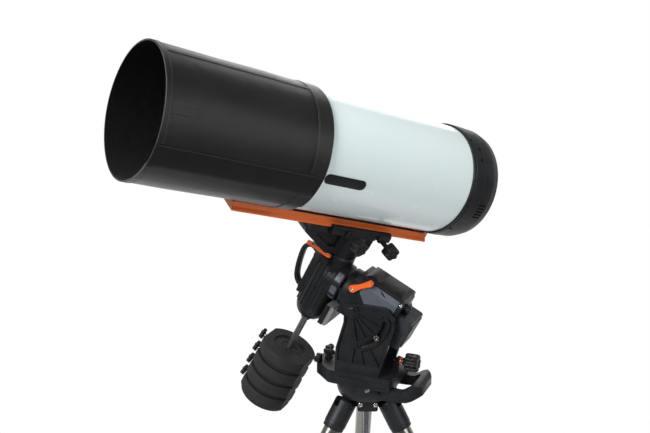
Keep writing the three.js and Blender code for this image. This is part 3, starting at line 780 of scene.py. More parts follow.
def lens_cell():
    """The prime-focus lens cell: a stepped barrel with a grip ring and a camera flange."""
    low, high = span("lens_cell", TUBE)
    base = low.z
    top = high.z
    profile = [
        (28, base), (49.5, base), (49.5, base + 32), (57, base + 32), (58, base + 33), (58, base + 52),
        (57, base + 53), (55, base + 54), (46, base + 63), (44, base + 64), (44, base + 72),
        (43, base + 73), (43, base + 80), (44, base + 81), (44, top - 22), (40, top - 19), (38, top - 18),
        (38, top - 6), (37, top - 5), (37, top - 3), (38, top - 2), (38, top), (28, top),
    ]
    notches = spun(lambda: block([56.6, 60], [-1.3, 1.3], [base + 36, base + 49]), range(0, 360, 10))
    barrel = combined([turned(profile, 144, close=True)], notches)
    remade("lens_cell", barrel, TUBE, 0.4)
    glass = turned([(0, base + 66), (27.6, base + 60), (27.6, base + 52), (0, base + 52)], 64)
    detail("field_lens", glass, TUBE, "corrector_glass", "lens_cell", 0.2)


# ---- The dew shield: one sheet rolled round the tube and held by hook-and-loop tape ----

OVERLAP_END = -87.0  # degrees, the free edge that shows
OVERLAP = 20.0
SHEET_THICK = 3.0
LAYER_STEP = 4  # how far the overlap stands out over the layer below
CLIMB = 25  # degrees in which the sheet climbs by that step
SEATED = 60  # the sheet is free of the tube from this far in front of it
SLACKNESS = 1.6
WAVE = 0.5
SEAM_TURN = -3.0
RING_SEAM = SHIELD_REAR + 47
STITCH_PITCH = 5
STITCH_REACH = 1.6  # half a stitch's length
STITCH_HALF = 0.45
STITCH_RISE = 0.55


def roll_radius(turn, z):
    """The rolled sheet's middle radius at an angle from its inner edge, with a little slackness."""
    climbed = max(0.0, min(1.0, (turn - 360 + OVERLAP + CLIMB) / CLIMB))
    rolled = SHIELD_RADIUS - LAYER_STEP + LAYER_STEP * climbed
    free = max(0.0, min(1.0, (z - TUBE_HIGH.z) / SEATED))
    across, up, _ = around(1.3, turn, 0)
    slack = SLACKNESS * noise.noise(Vector((across, up, z / 190)))
    wave = WAVE * math.sin(math.radians(3 * turn + 40))
    return rolled + free * (slack + wave)


def dew_shield():
    columns = 260
    rows = 60
    start = OVERLAP_END - OVERLAP
    whole = 360 + OVERLAP
    mesh = bmesh.new()
    inner = []
    outer = []
    for i in range(columns + 1):
        turn = whole * i / columns
        lines = ([], [])
        for j in range(rows + 1):
            z = SHIELD_REAR + (SHIELD_MOUTH - SHIELD_REAR) * j / rows
            radius = roll_radius(turn, z)
            for line, side in zip(lines, (-0.5, 0.5)):
                place = around(radius + side * SHEET_THICK, start - turn, z)
                line.append(mesh.verts.new(place))
        inner.append(lines[0])
        outer.append(lines[1])
    for grid in (inner, outer):
        for first, second in zip(grid, grid[1:]):
            for j in range(rows):
                mesh.faces.new((first[j], first[j + 1], second[j + 1], second[j]))
    for i in range(columns):
        for j in (0, rows):
            mesh.faces.new((inner[i][j], inner[i + 1][j], outer[i + 1][j], outer[i][j]))
    for i in (0, columns):
        for j in range(rows):
            mesh.faces.new((inner[i][j], inner[i][j + 1], outer[i][j + 1], outer[i][j]))
    bmesh.ops.recalc_face_normals(mesh, faces=mesh.faces)
    return mesh


def turn_to_roll(degrees):
    """The angle from the sheet's inner edge that shows at an angle on the tube, on the outermost layer."""
    start = OVERLAP_END - OVERLAP
    turn = (start - degrees) % 360
    return turn + 360 if turn < OVERLAP else turn


def on_sheet(degrees, z, lift):
    """A point on the outside of the rolled sheet."""
    radius = roll_radius(turn_to_roll(degrees), z) + SHEET_THICK / 2 + lift
    return around(radius, degrees, z)


def strip_on_sheet(turns, levels, thick, lift=0.0):
    """A strip that follows the rolled sheet, as a closed skin: turns and levels are its grid lines."""
    rings = []
    for z in levels:
        top = [on_sheet(turn, z, lift + thick) for turn in turns]
        bottom = [on_sheet(turn, z, lift - 0.4) for turn in reversed(turns)]
        rings.append(top + bottom)
    return skinned(rings)


def stitch_row(name, points):
    """A row of short raised stitches along points on the sheet."""
    mesh = bmesh.new()
    for first, second in zip(points[::2], points[1::2]):
        a = Vector(first)
        b = Vector(second)
        along = (b - a).normalized()
        out = Vector((a.x, a.y, 0)).normalized()
        side = along.cross(out)
        half = side * STITCH_HALF
        loop = []
        for place, lift in (
            (a, -0.5), (a, -0.1), (a.lerp(b, 0.3), STITCH_RISE), (a.lerp(b, 0.7), STITCH_RISE),
            (b, -0.1), (b, -0.5),
        ):
            raised = place + out * lift
            loop.append((mesh.verts.new(raised + half), mesh.verts.new(raised - half)))
        for (l0, r0), (l1, r1) in zip(loop, loop[1:]):
            mesh.faces.new((l0, r0, r1, l1))
        mesh.faces.new((loop[0][0], loop[-1][0], loop[-1][1], loop[0][1]))
        mesh.faces.new([left for left, _ in loop])
        mesh.faces.new([right for _, right in reversed(loop)])
    bmesh.ops.recalc_face_normals(mesh, faces=mesh.faces)
    return detail(name, mesh, TUBE, "shield_fabric", "dew_shield", 0.0, THREAD)


def lengthwise_stitches(name, degrees, low, high, lift):
    count = int((high - low) / STITCH_PITCH)
    points = []
    for i in range(count):
        z = low + (high - low) * (i + 0.5) / count
        points += [on_sheet(degrees, z - STITCH_REACH, lift), on_sheet(degrees, z + STITCH_REACH, lift)]
    return stitch_row(name, points)


def round_stitches(name, z, first, last, lift):
    count = int(abs(math.radians(last - first)) * SHIELD_RADIUS / STITCH_PITCH)
    half = math.degrees(STITCH_REACH / SHIELD_RADIUS)
    points = []
    for i in range(count):
        turn = first + (last - first) * (i + 0.5) / count
        points += [on_sheet(turn - half, z, lift), on_sheet(turn + half, z, lift)]
    return stitch_row(name, points)


def shield_trim():
    """The tape along the overlap, the hemmed mouth, the two seams and the sewn patch."""
    rear = SHIELD_REAR
    mouth = SHIELD_MOUTH
    under = OVERLAP_END - OVERLAP
    tape_turns = steps_between(under, OVERLAP_END, 10)
    ring = steps_between(under + 360 - 0.3, OVERLAP_END + 0.3, 200)
    seam_turns = steps_between(SEAM_TURN - 2.2, SEAM_TURN + 2.2, 4)
    patch_turns = steps_between(-62.5, -53, 6)
    trim = []
    for name, turns, levels, thick, edge, look in (
        ("tape", tape_turns, steps_between(rear + 1, mouth - 1, 44), 1.2, 0.3, TAPE),
        ("mouth_hem", ring, steps_between(mouth - 16, mouth - 0.4, 4), 1.3, 0.5, None),
        ("rear_cuff", ring, steps_between(rear + 0.4, RING_SEAM, 6), 1.1, 0.4, None),
        ("long_seam", seam_turns, steps_between(RING_SEAM - 1, mouth - 15, 40), 0.9, 0.4, None),
        ("patch", patch_turns, steps_between(mouth - 82, mouth - 18, 8), 1.0, 0.4, None),
    ):
        strip = strip_on_sheet(turns, levels, thick)
        trim.append(detail(f"shield_{name}", strip, TUBE, "shield_fabric", "dew_shield", edge, look))
    for name, degrees, low, high, lift in (
        ("seam_stitches_left", SEAM_TURN - 1.4, RING_SEAM + 2, mouth - 18, 0.9),
        ("seam_stitches_right", SEAM_TURN + 1.4, RING_SEAM + 2, mouth - 18, 0.9),
        ("patch_stitches_low", -61.6, mouth - 80, mouth - 20, 1.0),
        ("patch_stitches_high", -53.9, mouth - 80, mouth - 20, 1.0),
        ("tape_stitches_1", OVERLAP_END - 1.2, rear + 6, mouth - 6, 1.2),
        ("tape_stitches_2", under + 1.2, rear + 6, mouth - 6, 1.2),
    ):
        trim.append(lengthwise_stitches(name, degrees, low, high, lift))
    for name, z, lift in (("mouth_stitches", mouth - 13, 1.3), ("cuff_stitches", RING_SEAM - 3, 1.1)):
        trim.append(round_stitches(name, z, OVERLAP_END + 1, under + 359, lift))
    return trim


# ---- The rail and the saddle ----

RAIL_LOW, RAIL_HIGH = span("dovetail_rail", SADDLE)
RAIL_HALF = RAIL_HIGH.y
RAIL_TOP = RAIL_LOW.x + 21.7
RAIL_LIP = RAIL_TOP + 4.8


def dovetail_rail():
    """The orange rail: a dovetail foot, low lips along the top, and the blocks that meet the tube."""
    foot = RAIL_LOW.x
    section = mirrored([
        (foot, RAIL_HALF - 1), (foot + 1, RAIL_HALF), (foot + 5, RAIL_HALF), (foot + 11.5, 44),
        (RAIL_LIP, 44), (RAIL_LIP, 40.8), (RAIL_TOP, 40.8), (RAIL_TOP, 30), (RAIL_TOP - 2.5, 30),
    ])
    rail = slab(section, RAIL_LOW.z, RAIL_HIGH.z)
    rear = combined(
        [block([RAIL_TOP - 3, 224], [-34, 34], [RAIL_LOW.z + 4, TUBE_LOW.z - 5])],
        [bar("z", -300, 300, CELL_RADIUS + 0.4, TUBE_RISE, 0, 180)],
    )
    front = combined(
        [block([RAIL_TOP - 3, 224], [-34, 34], [250, 290])],
        [bar("z", -300, 300, TUBE_RADIUS + 0.4, TUBE_RISE, 0, 180)],
    )
    remade("dovetail_rail", combined([rail, rear, front]), SADDLE, 0.7)
    strip = block([RAIL_TOP, RAIL_TOP + 1.6], [-40, 40], [RAIL_LOW.z + 2, RAIL_HIGH.z - 2])
    gaps = []
    for reach in ([RAIL_LOW.z, TUBE_LOW.z - 4.5], [249, 291]):
        gaps.append(block([RAIL_TOP - 1, 230], [-34.5, 34.5], reach))
    detail("rail_liner", combined([strip], gaps), SADDLE, "black_plastic", "dovetail_rail", 0.3, RUBBER)


def saddle():
    """The saddle casting: plate, fixed jaw, the raised web with its window, and the round head below."""
    low, high = span("saddle", SADDLE)
    head_low = low.x
    plate = block([163, RAIL_LOW.x - 0.3], [-50, high.y], [-105, 185])
    jaw = block([170, 195], [RAIL_HALF + 0.8, high.y], [-100, 180])
    web_outline = [
        (164, -62), (164, 187), (158, 187), (146, 182), (90, 88), (90, -40), (98, -50), (122, -60),
    ]
    web = slab(web_outline, -38, 38, "xz")
    head = moved(
        turned([(46, head_low), (50, head_low + 4), (50, 150), (47, 156), (47, 164), (0, 164)], 96),
        Matrix.Rotation(math.pi / 2, 4, "Y"),
    )
    windows = []
    panels = []
    for side in (-1, 1):
        outer = side * 38
        recess = [(157, -48), (157, 50), (104, 50), (98, 30), (98, -30), (122, -48)]
        reach = (min(outer, outer - side * 2), max(outer, outer + side * 2))
        panels.append(slab(recess, *reach, "xz"))
        depth = ordered(outer - side * 7, outer + side * 4)
        windows.append(slab([(152, 60), (152, 146), (146, 146), (112, 84), (112, 60)], *depth, "xz"))
    remade("saddle", combined([plate, jaw, web, head], [*windows, *panels]), SADDLE, 1.2)


def saddle_jaw():
    low, high = span("saddle_jaw", SADDLE)
    near = high.y
    section = [
        (low.x, near - 13), (low.x + 2, near - 15), (186, near - 15), (192, near - 10), (194, near - 6),
        (194, near), (188, near), (182, near + 0.4), (low.x, near),
    ]
    notches = [block([low.x - 1, 171], [near - 20, near + 1], [z - 14, z + 14]) for z in (-54, 62)]
    remade("saddle_jaw", combined([slab(section, low.z, high.z)], notches), SADDLE, 1.0)


def saddle_knob(node):
    """A long-stemmed clamp knob with a collar, on the near side of the saddle."""
    low, high = span(node, SADDLE)
    face = high.y
    length = face - low.y
    station = (low.z + high.z) / 2
    rise = (low.x + high.x) / 2
    at = SADDLE @ Matrix.Translation((rise, face, station)) @ Matrix.Rotation(math.pi / 2, 4, "X")
    head = knob_head((high.z - low.z) / 2 * 1.1, 6, length - 32, 32, 0.1)
    stem = turned([
        (0, 0), (11, 0), (11, 5), (8, 8), (7, 10), (7, length - 36), (12, length - 31), (12, length - 28),
        (0, length - 28),
    ], 48)
    remade(node, combined([head, stem]), at, 0.5)
    rim = length - 3
    cap = turned([(0, rim), (7, rim), (7, rim + 2), (5, rim + 3.2), (0, rim + 3.2)], 32)
    detail(f"{node}_cap", cap, at, "black_plastic", node, 0.2)


# ---- The declination housing and what it carries ----

DEC_LOW = span("dec_housing", POLAR)[0]


def along_x(mesh):
    """A mesh that was turned about Z, laid with its axis along X."""
    return moved(mesh, Matrix.Rotation(math.pi / 2, 4, "Y"))


def dec_housing():
    """The declination housing: a ribbed barrel with a rounded foot, a collar, and a flat front pad."""
    low = DEC_LOW.x
    profile = [
        (0, low), (14, low), (24, low + 2), (34, low + 8), (41, low + 16), (46, low + 26), (50, low + 38),
        (52, low + 52), (52, 60), (50, 68), (50, 74), (46, 80), (0, 80),
    ]
    body = along_x(turned(profile, 120))
    collar = turned([(0, -61.2), (58, -61.2), (60, -59), (60, -34), (57, -31), (57, 0), (0, 0)], 120)
    nose = slab(mirrored([(-96, 30), (-88, 33), (46, 33), (52, 30)]), 10, 58)
    ledge = block([48, 69.7], [-77, -40], [0, 24])
    rib_turns = (-64, -46, -28, 28, 46, 64, 116, 244)
    ribs = spun(lambda: block([low + 44, 44], [-1.6, 1.6], [50, 54.2]), rib_turns, "X")
    groove_turns = (-112, -98, -84, 84, 98, 112)
    grooves = spun(lambda: block([low + 60, 30], [-1.3, 1.3], [50.6, 56]), groove_turns, "X")
    remade("dec_housing", combined([body, collar, nose, ledge, *ribs], grooves), POLAR, 1.0)


def collar_windows():
    """Framed slate panels round the collar that meets the polar housing."""
    for index, centre in enumerate((-142, -101, -60, 80, 121)):
        turns = (centre - 16, centre + 16)
        border = patch_on_tube(59.6, 1.4, turns, (-59, -35), 2, 6)
        detail(f"collar_frame_{index + 1}", border, POLAR, "black_plastic", "dec_housing", 0.3)
        turns = (centre - 13, centre + 13)
        panel = patch_on_tube(60.6, 1.2, turns, (-56.4, -37.6), 1.5, 6)
        detail(f"collar_panel_{index + 1}", panel, POLAR, "slate_casting", "dec_housing", 0.4)


def bolted(name, place, axis, radius, on, at, look=None, depth=4):
    """A socket-head screw that stands on a face: axis is the way it points."""
    head = turned([(0, -2), (radius, -2), (radius, depth - 0.8), (radius - 0.8, depth), (0, depth)], 32)
    socket = bar("z", depth - 2.4, depth + 2, radius * 0.5, 0, 0, 6)
    turn = Vector(axis).to_track_quat("Z", "Y").to_matrix().to_4x4()
    screw = moved(combined([head], [socket]), Matrix.Translation(place) @ turn)
    detail(name, screw, at, "polished_steel", on, 0.25, look or BRIGHT_STEEL)


def dec_motor_cover():
    low, high = span("dec_motor_cover", POLAR)
    side = [
        (high.x, high.z), (high.x, low.z + 2), (high.x - 2, low.z), (low.x + 8, low.z),
        (low.x + 2, low.z + 4), (low.x, low.z + 8), (low.x, high.z - 8), (low.x + 8, high.z),
    ]
    box = slab(side, low.y, high.y, "xz")
    seam = combined(
        [block([low.x - 2, high.x + 2], [low.y - 2, high.y + 2], [low.z + 12, low.z + 13.2])],
        [block([low.x + 1, high.x + 3], [low.y + 1, high.y - 1], [low.z + 10, low.z + 16])],
    )
    remade("dec_motor_cover", combined([box], [seam]), POLAR, 2.0, GREY_CASTING)


def dec_motor_case():
    """The black shell that wraps the motor box on its outer faces."""
    low, high = span("dec_motor_cover", POLAR)
    shell = block([low.x - 1.4, high.x + 0.2], [low.y - 1.4, high.y + 1.4], [low.z + 13, high.z + 1.4])
    inside = block([low.x + 0.3, high.x + 4], [low.y + 0.3, high.y - 0.3], [low.z, high.z - 0.3])
    detail("dec_motor_case", combined([shell], [inside]), POLAR, "black_plastic", "dec_motor_cover", 1.6)


def lever_outline(length, hub, tip):
    """A lever seen flat: round at its hub and its tip, with a narrower neck between."""
    outline = [around(hub, degrees, 0)[:2] for degrees in steps_between(70, 290, 18)]
    neck = (hub + tip) * 0.33
    outline.append((length * 0.45, -neck))
    for degrees in steps_between(-80, 80, 18):
        x, y, _ = around(tip, degrees, 0)
        outline.append((length + x, y))
    outline.append((length * 0.45, neck))
    return outline


def ra_clutch_lever():
    """A flat orange lever with a raised thumb end and a screw through its hub."""
    low, high = span("ra_clutch_lever", POLAR)
    joint = POLAR.inverted() @ place_of("ra_lever_swing")
    hub = (joint.x, joint.z)
    tip = (77, -138)
    run = Vector((tip[0] - hub[0], tip[1] - hub[1]))
    outer = low.y + 3
    blade = slab(lever_outline(run.length, 11, 9), outer, high.y, "xz")
    rim = slab(lever_outline(run.length, 8, 6.4), outer - 1.2, outer + 0.8, "xz")
    thumb = bar("y", outer - 4, outer + 2, 8, run.length, 0, 48)
    blade = combined([blade, rim, thumb])
    turn = Matrix.Translation((hub[0], 0, hub[1])) @ Matrix.Rotation(-math.atan2(run.y, run.x), 4, "Y")
    remade("ra_clutch_lever", moved(blade, turn), POLAR, 1.0)
    bolted("ra_lever_screw", (hub[0], outer - 1, hub[1]), (0, -1, 0), 5, "ra_clutch_lever", POLAR)


def dec_clutch_lever():
    high = span("dec_clutch_lever", POLAR)[1]
    joint = POLAR.inverted() @ place_of("dec_lever_swing")
    length = high.z - joint.z - 8
    base = high.x - 8
    flat = slab(lever_outline(length, 10, 8), 0, 7)
    rim = slab(lever_outline(length, 7, 5.4), 6, 8)
    end = length + 7
    tab = slab([(end - 17, -7), (end - 1, -5), (end, 0), (end - 1, 5), (end - 17, 7)], 6, 9.5)
    lever = combined([flat, rim, tab])
    turn = Matrix(((0, 0, 1, 0), (0, -1, 0, 0), (1, 0, 0, 0), (0, 0, 0, 1)))
    lever = moved(lever, Matrix.Translation((base, joint.y, joint.z)) @ turn)
    remade("dec_clutch_lever", lever, POLAR, 1.0)
    bolted("dec_lever_screw", (high.x - 1, joint.y, joint.z), (1, 0, 0), 5, "dec_clutch_lever", POLAR)


def swept(section, points):
    """A strap of constant section along points in the XZ plane."""
    rings = []
    for i, point in enumerate(points):
        ahead = points[min(i + 1, len(points) - 1)]
        behind = points[max(i - 1, 0)]
        along = Vector((ahead[0] - behind[0], 0, ahead[1] - behind[1])).normalized()
        out = Vector((-along.z, 0, along.x))
        centre = Vector((point[0], 0, point[1]))
        rings.append([centre + Vector((0, across, 0)) + out * rise for across, rise in section])
    return skinned(rings)


def smooth_route(points, steps=10):
    """Points on a Catmull-Rom curve through the points given."""
    padded = [points[0], *points, points[-1]]
    route = []
    for p0, p1, p2, p3 in zip(padded, padded[1:], padded[2:], padded[3:]):
        for i in range(steps):
            t = i / steps
            point = []
            for a, b, c, d in zip(p0, p1, p2, p3):
                bend = (2 * a - 5 * b + 4 * c - d) * t * t + (3 * b - a - 3 * c + d) * t ** 3
                point.append(0.5 * (2 * b + (c - a) * t + bend))
            route.append(tuple(point))
    return route + [tuple(points[-1])]


def carry_handle():
    """A strap handle on the front of the declination housing, between its two feet."""
    base = 58.3
    route = smooth_route([(40, base), (47, 84), (28, 102), (-20, 98), (-62, 86), (-80, 70), (-80, base)])
    section = mirrored([(-12, 3.4), (-11, 5.525), (-8, 6.8), (8, 6.8), (11, 5.525), (12, 3.4)])
    strap = swept(section, route)
    feet = [block([26, 52], [-15, 15], [base, base + 6]), block([-90, -68], [-15, 15], [base, base + 6])]
    remade("carry_handle", combined([strap, *feet]), POLAR, 1.2)
    black = LOOKS["black_plastic"]
    for index, x in enumerate((33, -86)):
        name = f"handle_screw_{index + 1}"
        bolted(name, (x, 0, base + 6), (0, 0, 1), 4, "carry_handle", POLAR, look=black, depth=2.5)


# ---- The counterweights on their shaft ----

WEIGHT_BORE = 10.4


def counterweight_shaft():
    low, high = span("counterweight_shaft", SHAFT)
    radius = high.x
    profile = [
        (0, low.z), (radius - 1.5, low.z), (radius, low.z + 1.5), (radius, high.z - 12),
        (radius + 5, high.z - 10), (radius + 5, high.z - 0.4), (0, high.z - 0.4),
    ]
    remade("counterweight_shaft", turned(profile, 64), SHAFT, 0.4, SHAFT_STEEL)


def counterweight(index):
    """A cast disc with two flats, a stepped and chamfered rim, and rings and a dish in its top face."""
    node = f"counterweight_{index}"
    low, high = span(node, SHAFT)
    radius = high.y
    bottom = low.z
    top = high.z
    profile = [
        (WEIGHT_BORE, bottom), (radius - 14, bottom), (radius - 8.5, bottom + 1.5),
        (radius - 7, bottom + 4), (radius - 6.5, bottom + 13), (radius - 1.5, bottom + 15.5),
        (radius, bottom + 18), (radius, top - 5), (radius - 1.2, top - 1.2), (radius - 3, top),
        (54, top), (52.5, top - 1), (51.5, top - 4.5), (49, top - 5), (30, top - 3.5), (28, top - 3),
        (27, top - 5), (23, top - 5), (21, top - 3.5), (WEIGHT_BORE, top - 3.5),
    ]
    flat = high.x
    between = block([-flat, flat], [-100, 100], [bottom - 1, top + 1])
    remade(node, combined([turned(profile, 128, close=True)], within=between), SHAFT, 1.2)


def weight_knob(index):
    """The star knob that locks a weight: a black head on a threaded bright stem."""
    node = f"weight_knob_{index}"
    low, high = span(node, SHAFT)
    middle = (low.z + high.z) / 2
    radius = (high.z - low.z) / 2
    at = SHAFT @ Matrix.Translation((low.x, 0, middle)) @ Matrix.Rotation(math.pi / 2, 4, "Y")
    length = high.x - low.x
    head = knob_head(radius, 5, length - 11, 11, 0.2)
    collar = turned([(0, length - 13), (8, length - 13), (9, length - 10), (0, length - 10)], 48)
    remade(node, combined([head, collar]), at, 0.3)
    turns = []
    for i in range(5):
        turns += [(4.3, 0.2 + i * 2), (5, 0.8 + i * 2), (5, 1.2 + i * 2), (4.3, 1.9 + i * 2)]
    stem = turned([(0, 0), *turns, (4.3, length - 9), (0, length - 9)], 32)
    detail(f"{node}_stem", stem, at, "polished_steel", node, 0.1, BRIGHT_STEEL)


def shaft_end_stop():
    low, high = span("shaft_end_stop", SHAFT)
    radius = high.x
    profile = [
        (WEIGHT_BORE, low.z), (radius - 3, low.z), (radius - 0.8, low.z + 1), (radius, low.z + 3),
        (radius, high.z - 3), (radius - 0.8, high.z - 1), (radius - 3, high.z), (WEIGHT_BORE, high.z),
    ]
    flutes = spun(lambda: bar("z", low.z - 2, high.z + 2, 1.4, radius + 0.5, 0, 10), range(0, 360, 18))
    remade("shaft_end_stop", combined([turned(profile, 96, close=True)], flutes), SHAFT, 0.4)


# ---- The polar housing ----

PANEL_PROUD = 1.2  # the casting is narrower than the CAD's by this on each side, to seat the panels
HOUSING_HALF = span("ra_housing", POLAR)[1].y - PANEL_PROUD


def ra_housing():
    """The polar housing: a round drum in front and a faceted casting behind."""
    rear = -249
    half = HOUSING_HALF
    drum = turned([(0, -114), (61, -114), (61, -72), (59, -68.3), (0, -68.3)], 120)
    side = [
        (74, -96), (74, -238), (60, rear), (-66, rear), (-78, -238), (-78, -150), (-58, -120), (-58, -88),
        (52, -88),
    ]
    section = mirrored([(74, 50), (72, 54), (58, half), (-64, half), (-78, 54)])
    casting = combined([slab(side, -half, half, "xz")], within=slab(section, -260, -80))
    cap = turned([(0, -268), (12, -268), (15, -265), (15, rear + 1), (0, rear + 1)], 64)
    cap = moved(cap, Matrix.Translation((50, -22, 0)))
    remade("ra_housing", combined([drum, casting, cap]), POLAR, 1.4)


def ra_side_panels():
    """Slate panels that wrap the side and upper bevel of the polar housing, each with a pointed slot."""
    side = [
        (76, -132), (50, -119), (32, -123), (-22, -186), (-24, -192), (-24, -216), (8, -216), (14, -222),
        (14, -236), (76, -236),
    ]
    slot = [(70.5, -169), (67.5, -184), (61, -197), (63, -182)]
    outer = HOUSING_HALF + 1.3
    inner = HOUSING_HALF - 2
    bent = [(-26, outer), (58.6, outer), (72.6, 54.2), (71, 52.4), (57, inner), (-26, inner)]
    for name, sign in (("near", -1), ("far", 1)):
        plate = slab([(x, sign * y) for x, y in bent], -240, -110)
        keep = slab(side, *ordered(sign * 48, sign * 70), "xz")
        hole = slab(slot, *ordered(sign * 40, sign * 80), "xz")
        panel = combined([plate], [hole], within=keep)
        detail(f"ra_side_panel_{name}", panel, POLAR, "slate_casting", "ra_housing", 0.5)
        place = (66, sign * 58, -243)
        bolted(f"ra_side_screw_{name}", place, (0.5, sign, 0), 4.5, "ra_housing", POLAR)


def ra_drum_band():
    """The black band round the front of the polar housing."""
    band = hoop(62.4, 60.4, -104, -88.4, 120)
    keep = block([-62.8, 63], [-64, 64], [-110, -80])
    detail("ra_drum_band", combined([band], within=keep), POLAR, "black_casting", "ra_housing", 0.5)


def ra_motor_cover():
    """The motor cover: a rounded hump behind the drum, a saddle, and a raised rear end."""
    low, high = span("ra_motor_cover", POLAR)
    foot = low.x
    crown = high.x
    side = smooth_route([
        (foot, -110), (foot + 5, -111), (crown - 4, -118), (crown, -129), (crown - 2, -144),
        (crown - 5, -160), (crown - 6, -184), (crown - 5, -204), (crown - 4, -222), (crown - 6, -238),
        (foot + 4, -245), (foot, -246),
    ], 5)
    section = [
        (70, -56), (foot + 2, -56), (foot + 7, -50), (foot + 12, -40), (crown + 0.5, -26), (crown + 1, 0),
        (crown + 0.5, 26), (foot + 12, 40), (foot + 7, 50), (foot + 2, 56), (70, 56),
    ]
    cover = combined([slab(side, -56, 56, "xz")], within=slab(section, -260, -100))
    remade("ra_motor_cover", cover, POLAR, 1.6)


def ra_rear_box():
    """The rear box with its lid, cooling fins underneath and blank sockets."""
    low, high = span("ra_rear_box", POLAR)
    front = high.z
    side = [
        (35, front), (35, -291), (33, -296), (28, -298), (-54, -298), (-59, -296), (-61, -291),
        (-61, front),
    ]
    box = slab(side, -52, 52, "xz")
    lid = slab(mirrored([(-52, 42), (-50, 44), (24, 44), (26, 42)]), low.z, -290)
    cuts = []
    for i in range(5):
        x = -44 + 9 * i
        for sign in (-1, 1):
            edge = sign * 52
            cuts.append(block([x - 1.6, x + 1.6], [edge - 2.2, edge + 2.2], [-288, -258]))
    for x, y in ((8, -26), (8, 0), (8, 26), (-26, -22), (-26, 22)):
        cuts.append(bar("z", low.z - 2, low.z + 2.4, 7, x, y, 32))
    remade("ra_rear_box", combined([box, lid], cuts), POLAR, 1.4, DARK_SLATE)


def latitude_lock_bolt():
    node = "latitude_lock_bolt"
    low, high = span(node, POLAR)
    centre = ((low.x + high.x) / 2, (low.z + high.z) / 2)
    shank = bar("y", low.y + 5, high.y - 5, 5, centre[0], centre[1], 32)
    heads = []
    for sign in (-1, 1):
        end = high.y * sign
        face = (high.y - 6.7) * sign
        heads.append(bar("y", min(face, end), max(face, end), 9, centre[0], centre[1], 48))
    sockets = []
    for reach in ((high.y - 4, high.y + 2), (low.y - 2, low.y + 4)):
        sockets.append(bar("y", *reach, 4.4, centre[0], centre[1], 6))
    remade(node, combined([shank, *heads], sockets), POLAR, 0.8)


# ---- The azimuth base and the side plates ----

BOSS_LOW, BOSS_HIGH = span("side_plate_far", PIVOT)
PLATE_INNER = BOSS_LOW.y
PLATE_OUTER = BOSS_HIGH.y - 3
DECK_TOP = -188
DECK_BOTTOM = -228
DRUM_BOTTOM = -276
AZIMUTH_X = (PIVOT.inverted() @ place_of("azimuth_adjust")).x
SLOT_RADIUS = 104.7
SLOT_HIGH = -13
SLOT_LOW = -73


def carry_loop():
    """A squared loop from above, kept within the rising band that it makes from the side."""
    loop = slab(mirrored([(95, 80), (172, 80), (186, 74), (204, 54), (210, 42)]), -300, -150)
    hole = slab(mirrored([(95.1, 52), (160, 52), (170, 48), (178, 40), (180, 34)]), -310, -140)
    bottom = smooth_route([(90, -258), (140, -256), (178, -250), (210, -236)], 6)
    top = smooth_route([(210, -212), (194, -203), (170, -214), (150, -224), (112, DECK_BOTTOM + 6)], 6)
    band = slab([*bottom, *top, (90, DECK_BOTTOM + 6)], -100, 100, "xz")
    return combined([loop], [hole], within=band)


def azimuth_base():
    """The base: a deck with a narrow nose, a rounded bowl below it, a carrying loop and the screw posts."""
    deck = slab(mirrored([
        (-132, 24), (-130, 30), (-125, 37), (-104, 55), (-72, 84), (-64, 87), (-52, 88), (112, 88),
        (122, 84), (126, 76),
    ]), DECK_BOTTOM, DECK_TOP)
    bowl = turned([
        (0, DRUM_BOTTOM), (79, DRUM_BOTTOM), (83.5, DRUM_BOTTOM + 2), (87, DRUM_BOTTOM + 9),
        (90, DRUM_BOTTOM + 20), (92, DRUM_BOTTOM + 38), (92, DECK_BOTTOM + 1), (0, DECK_BOTTOM + 1),
    ], 128)
    bowl = moved(bowl, Matrix.Translation((AZIMUTH_X, 0, 0)))
    lug = slab([
        (112, DECK_TOP - 1), (126, DECK_TOP - 1), (126, -154), (122, -150), (116, -150), (112, -154),
    ], -12, 12, "xz")
    posts = [
        block([-128, -112], [side * 34 - 5, side * 34 + 5], [DECK_TOP - 1, -166]) for side in (-1, 1)
    ]
    cuts = [bar("x", 100, 130, 6.4, 0, -160, 32)]
    for side in (-1, 1):
        edge = ordered(side * 86.6, side * 92)
        cuts.append(block([-46, 104], edge, [DECK_TOP - 16, DECK_TOP - 13.6]))
        cuts.append(block([-30, 104], edge, [DECK_BOTTOM + 9, DECK_BOTTOM + 10.6]))
    remade("azimuth_base", combined([deck, bowl, carry_loop(), lug, *posts], cuts), PIVOT, 2.0)


def plate_outline(inset=0.0):
    rim = [
        (-14, 18), (-8, 22.5), (2, 24.5), (99, 23), (113, 19), (122, 8), (131, -8), (133, -23),
        (130, -42), (116, -86), (86, DECK_TOP + 0.3), (-51, DECK_TOP + 0.3), (-48, -118), (-24, -36),
        (-22, 0), (-20, 10),
    ]
    size = 1 - inset / 75
    return [(40 + (x - 40) * size, -75 + (z + 75) * size) for x, z in rim]


def arc_band(inner, outer, high, low):
    """A band about the pivot with round ends, between two radii and two angles."""
    middle = (inner + outer) / 2
    cap = (outer - inner) / 2
    outline = []
    for radius, first, last, lean in ((outer, low, high, 0), (inner, high, low, 180)):
        for degrees in steps_between(first, last, 28):
            outline.append(around(radius, degrees, 0)[:2])
        centre = around(middle, last, 0)
        for degrees in steps_between(0, 180, 12)[1:-1]:
            rim = around(cap, last + lean + degrees, 0)
            outline.append((centre[0] + rim[0], centre[1] + rim[1]))
    return outline


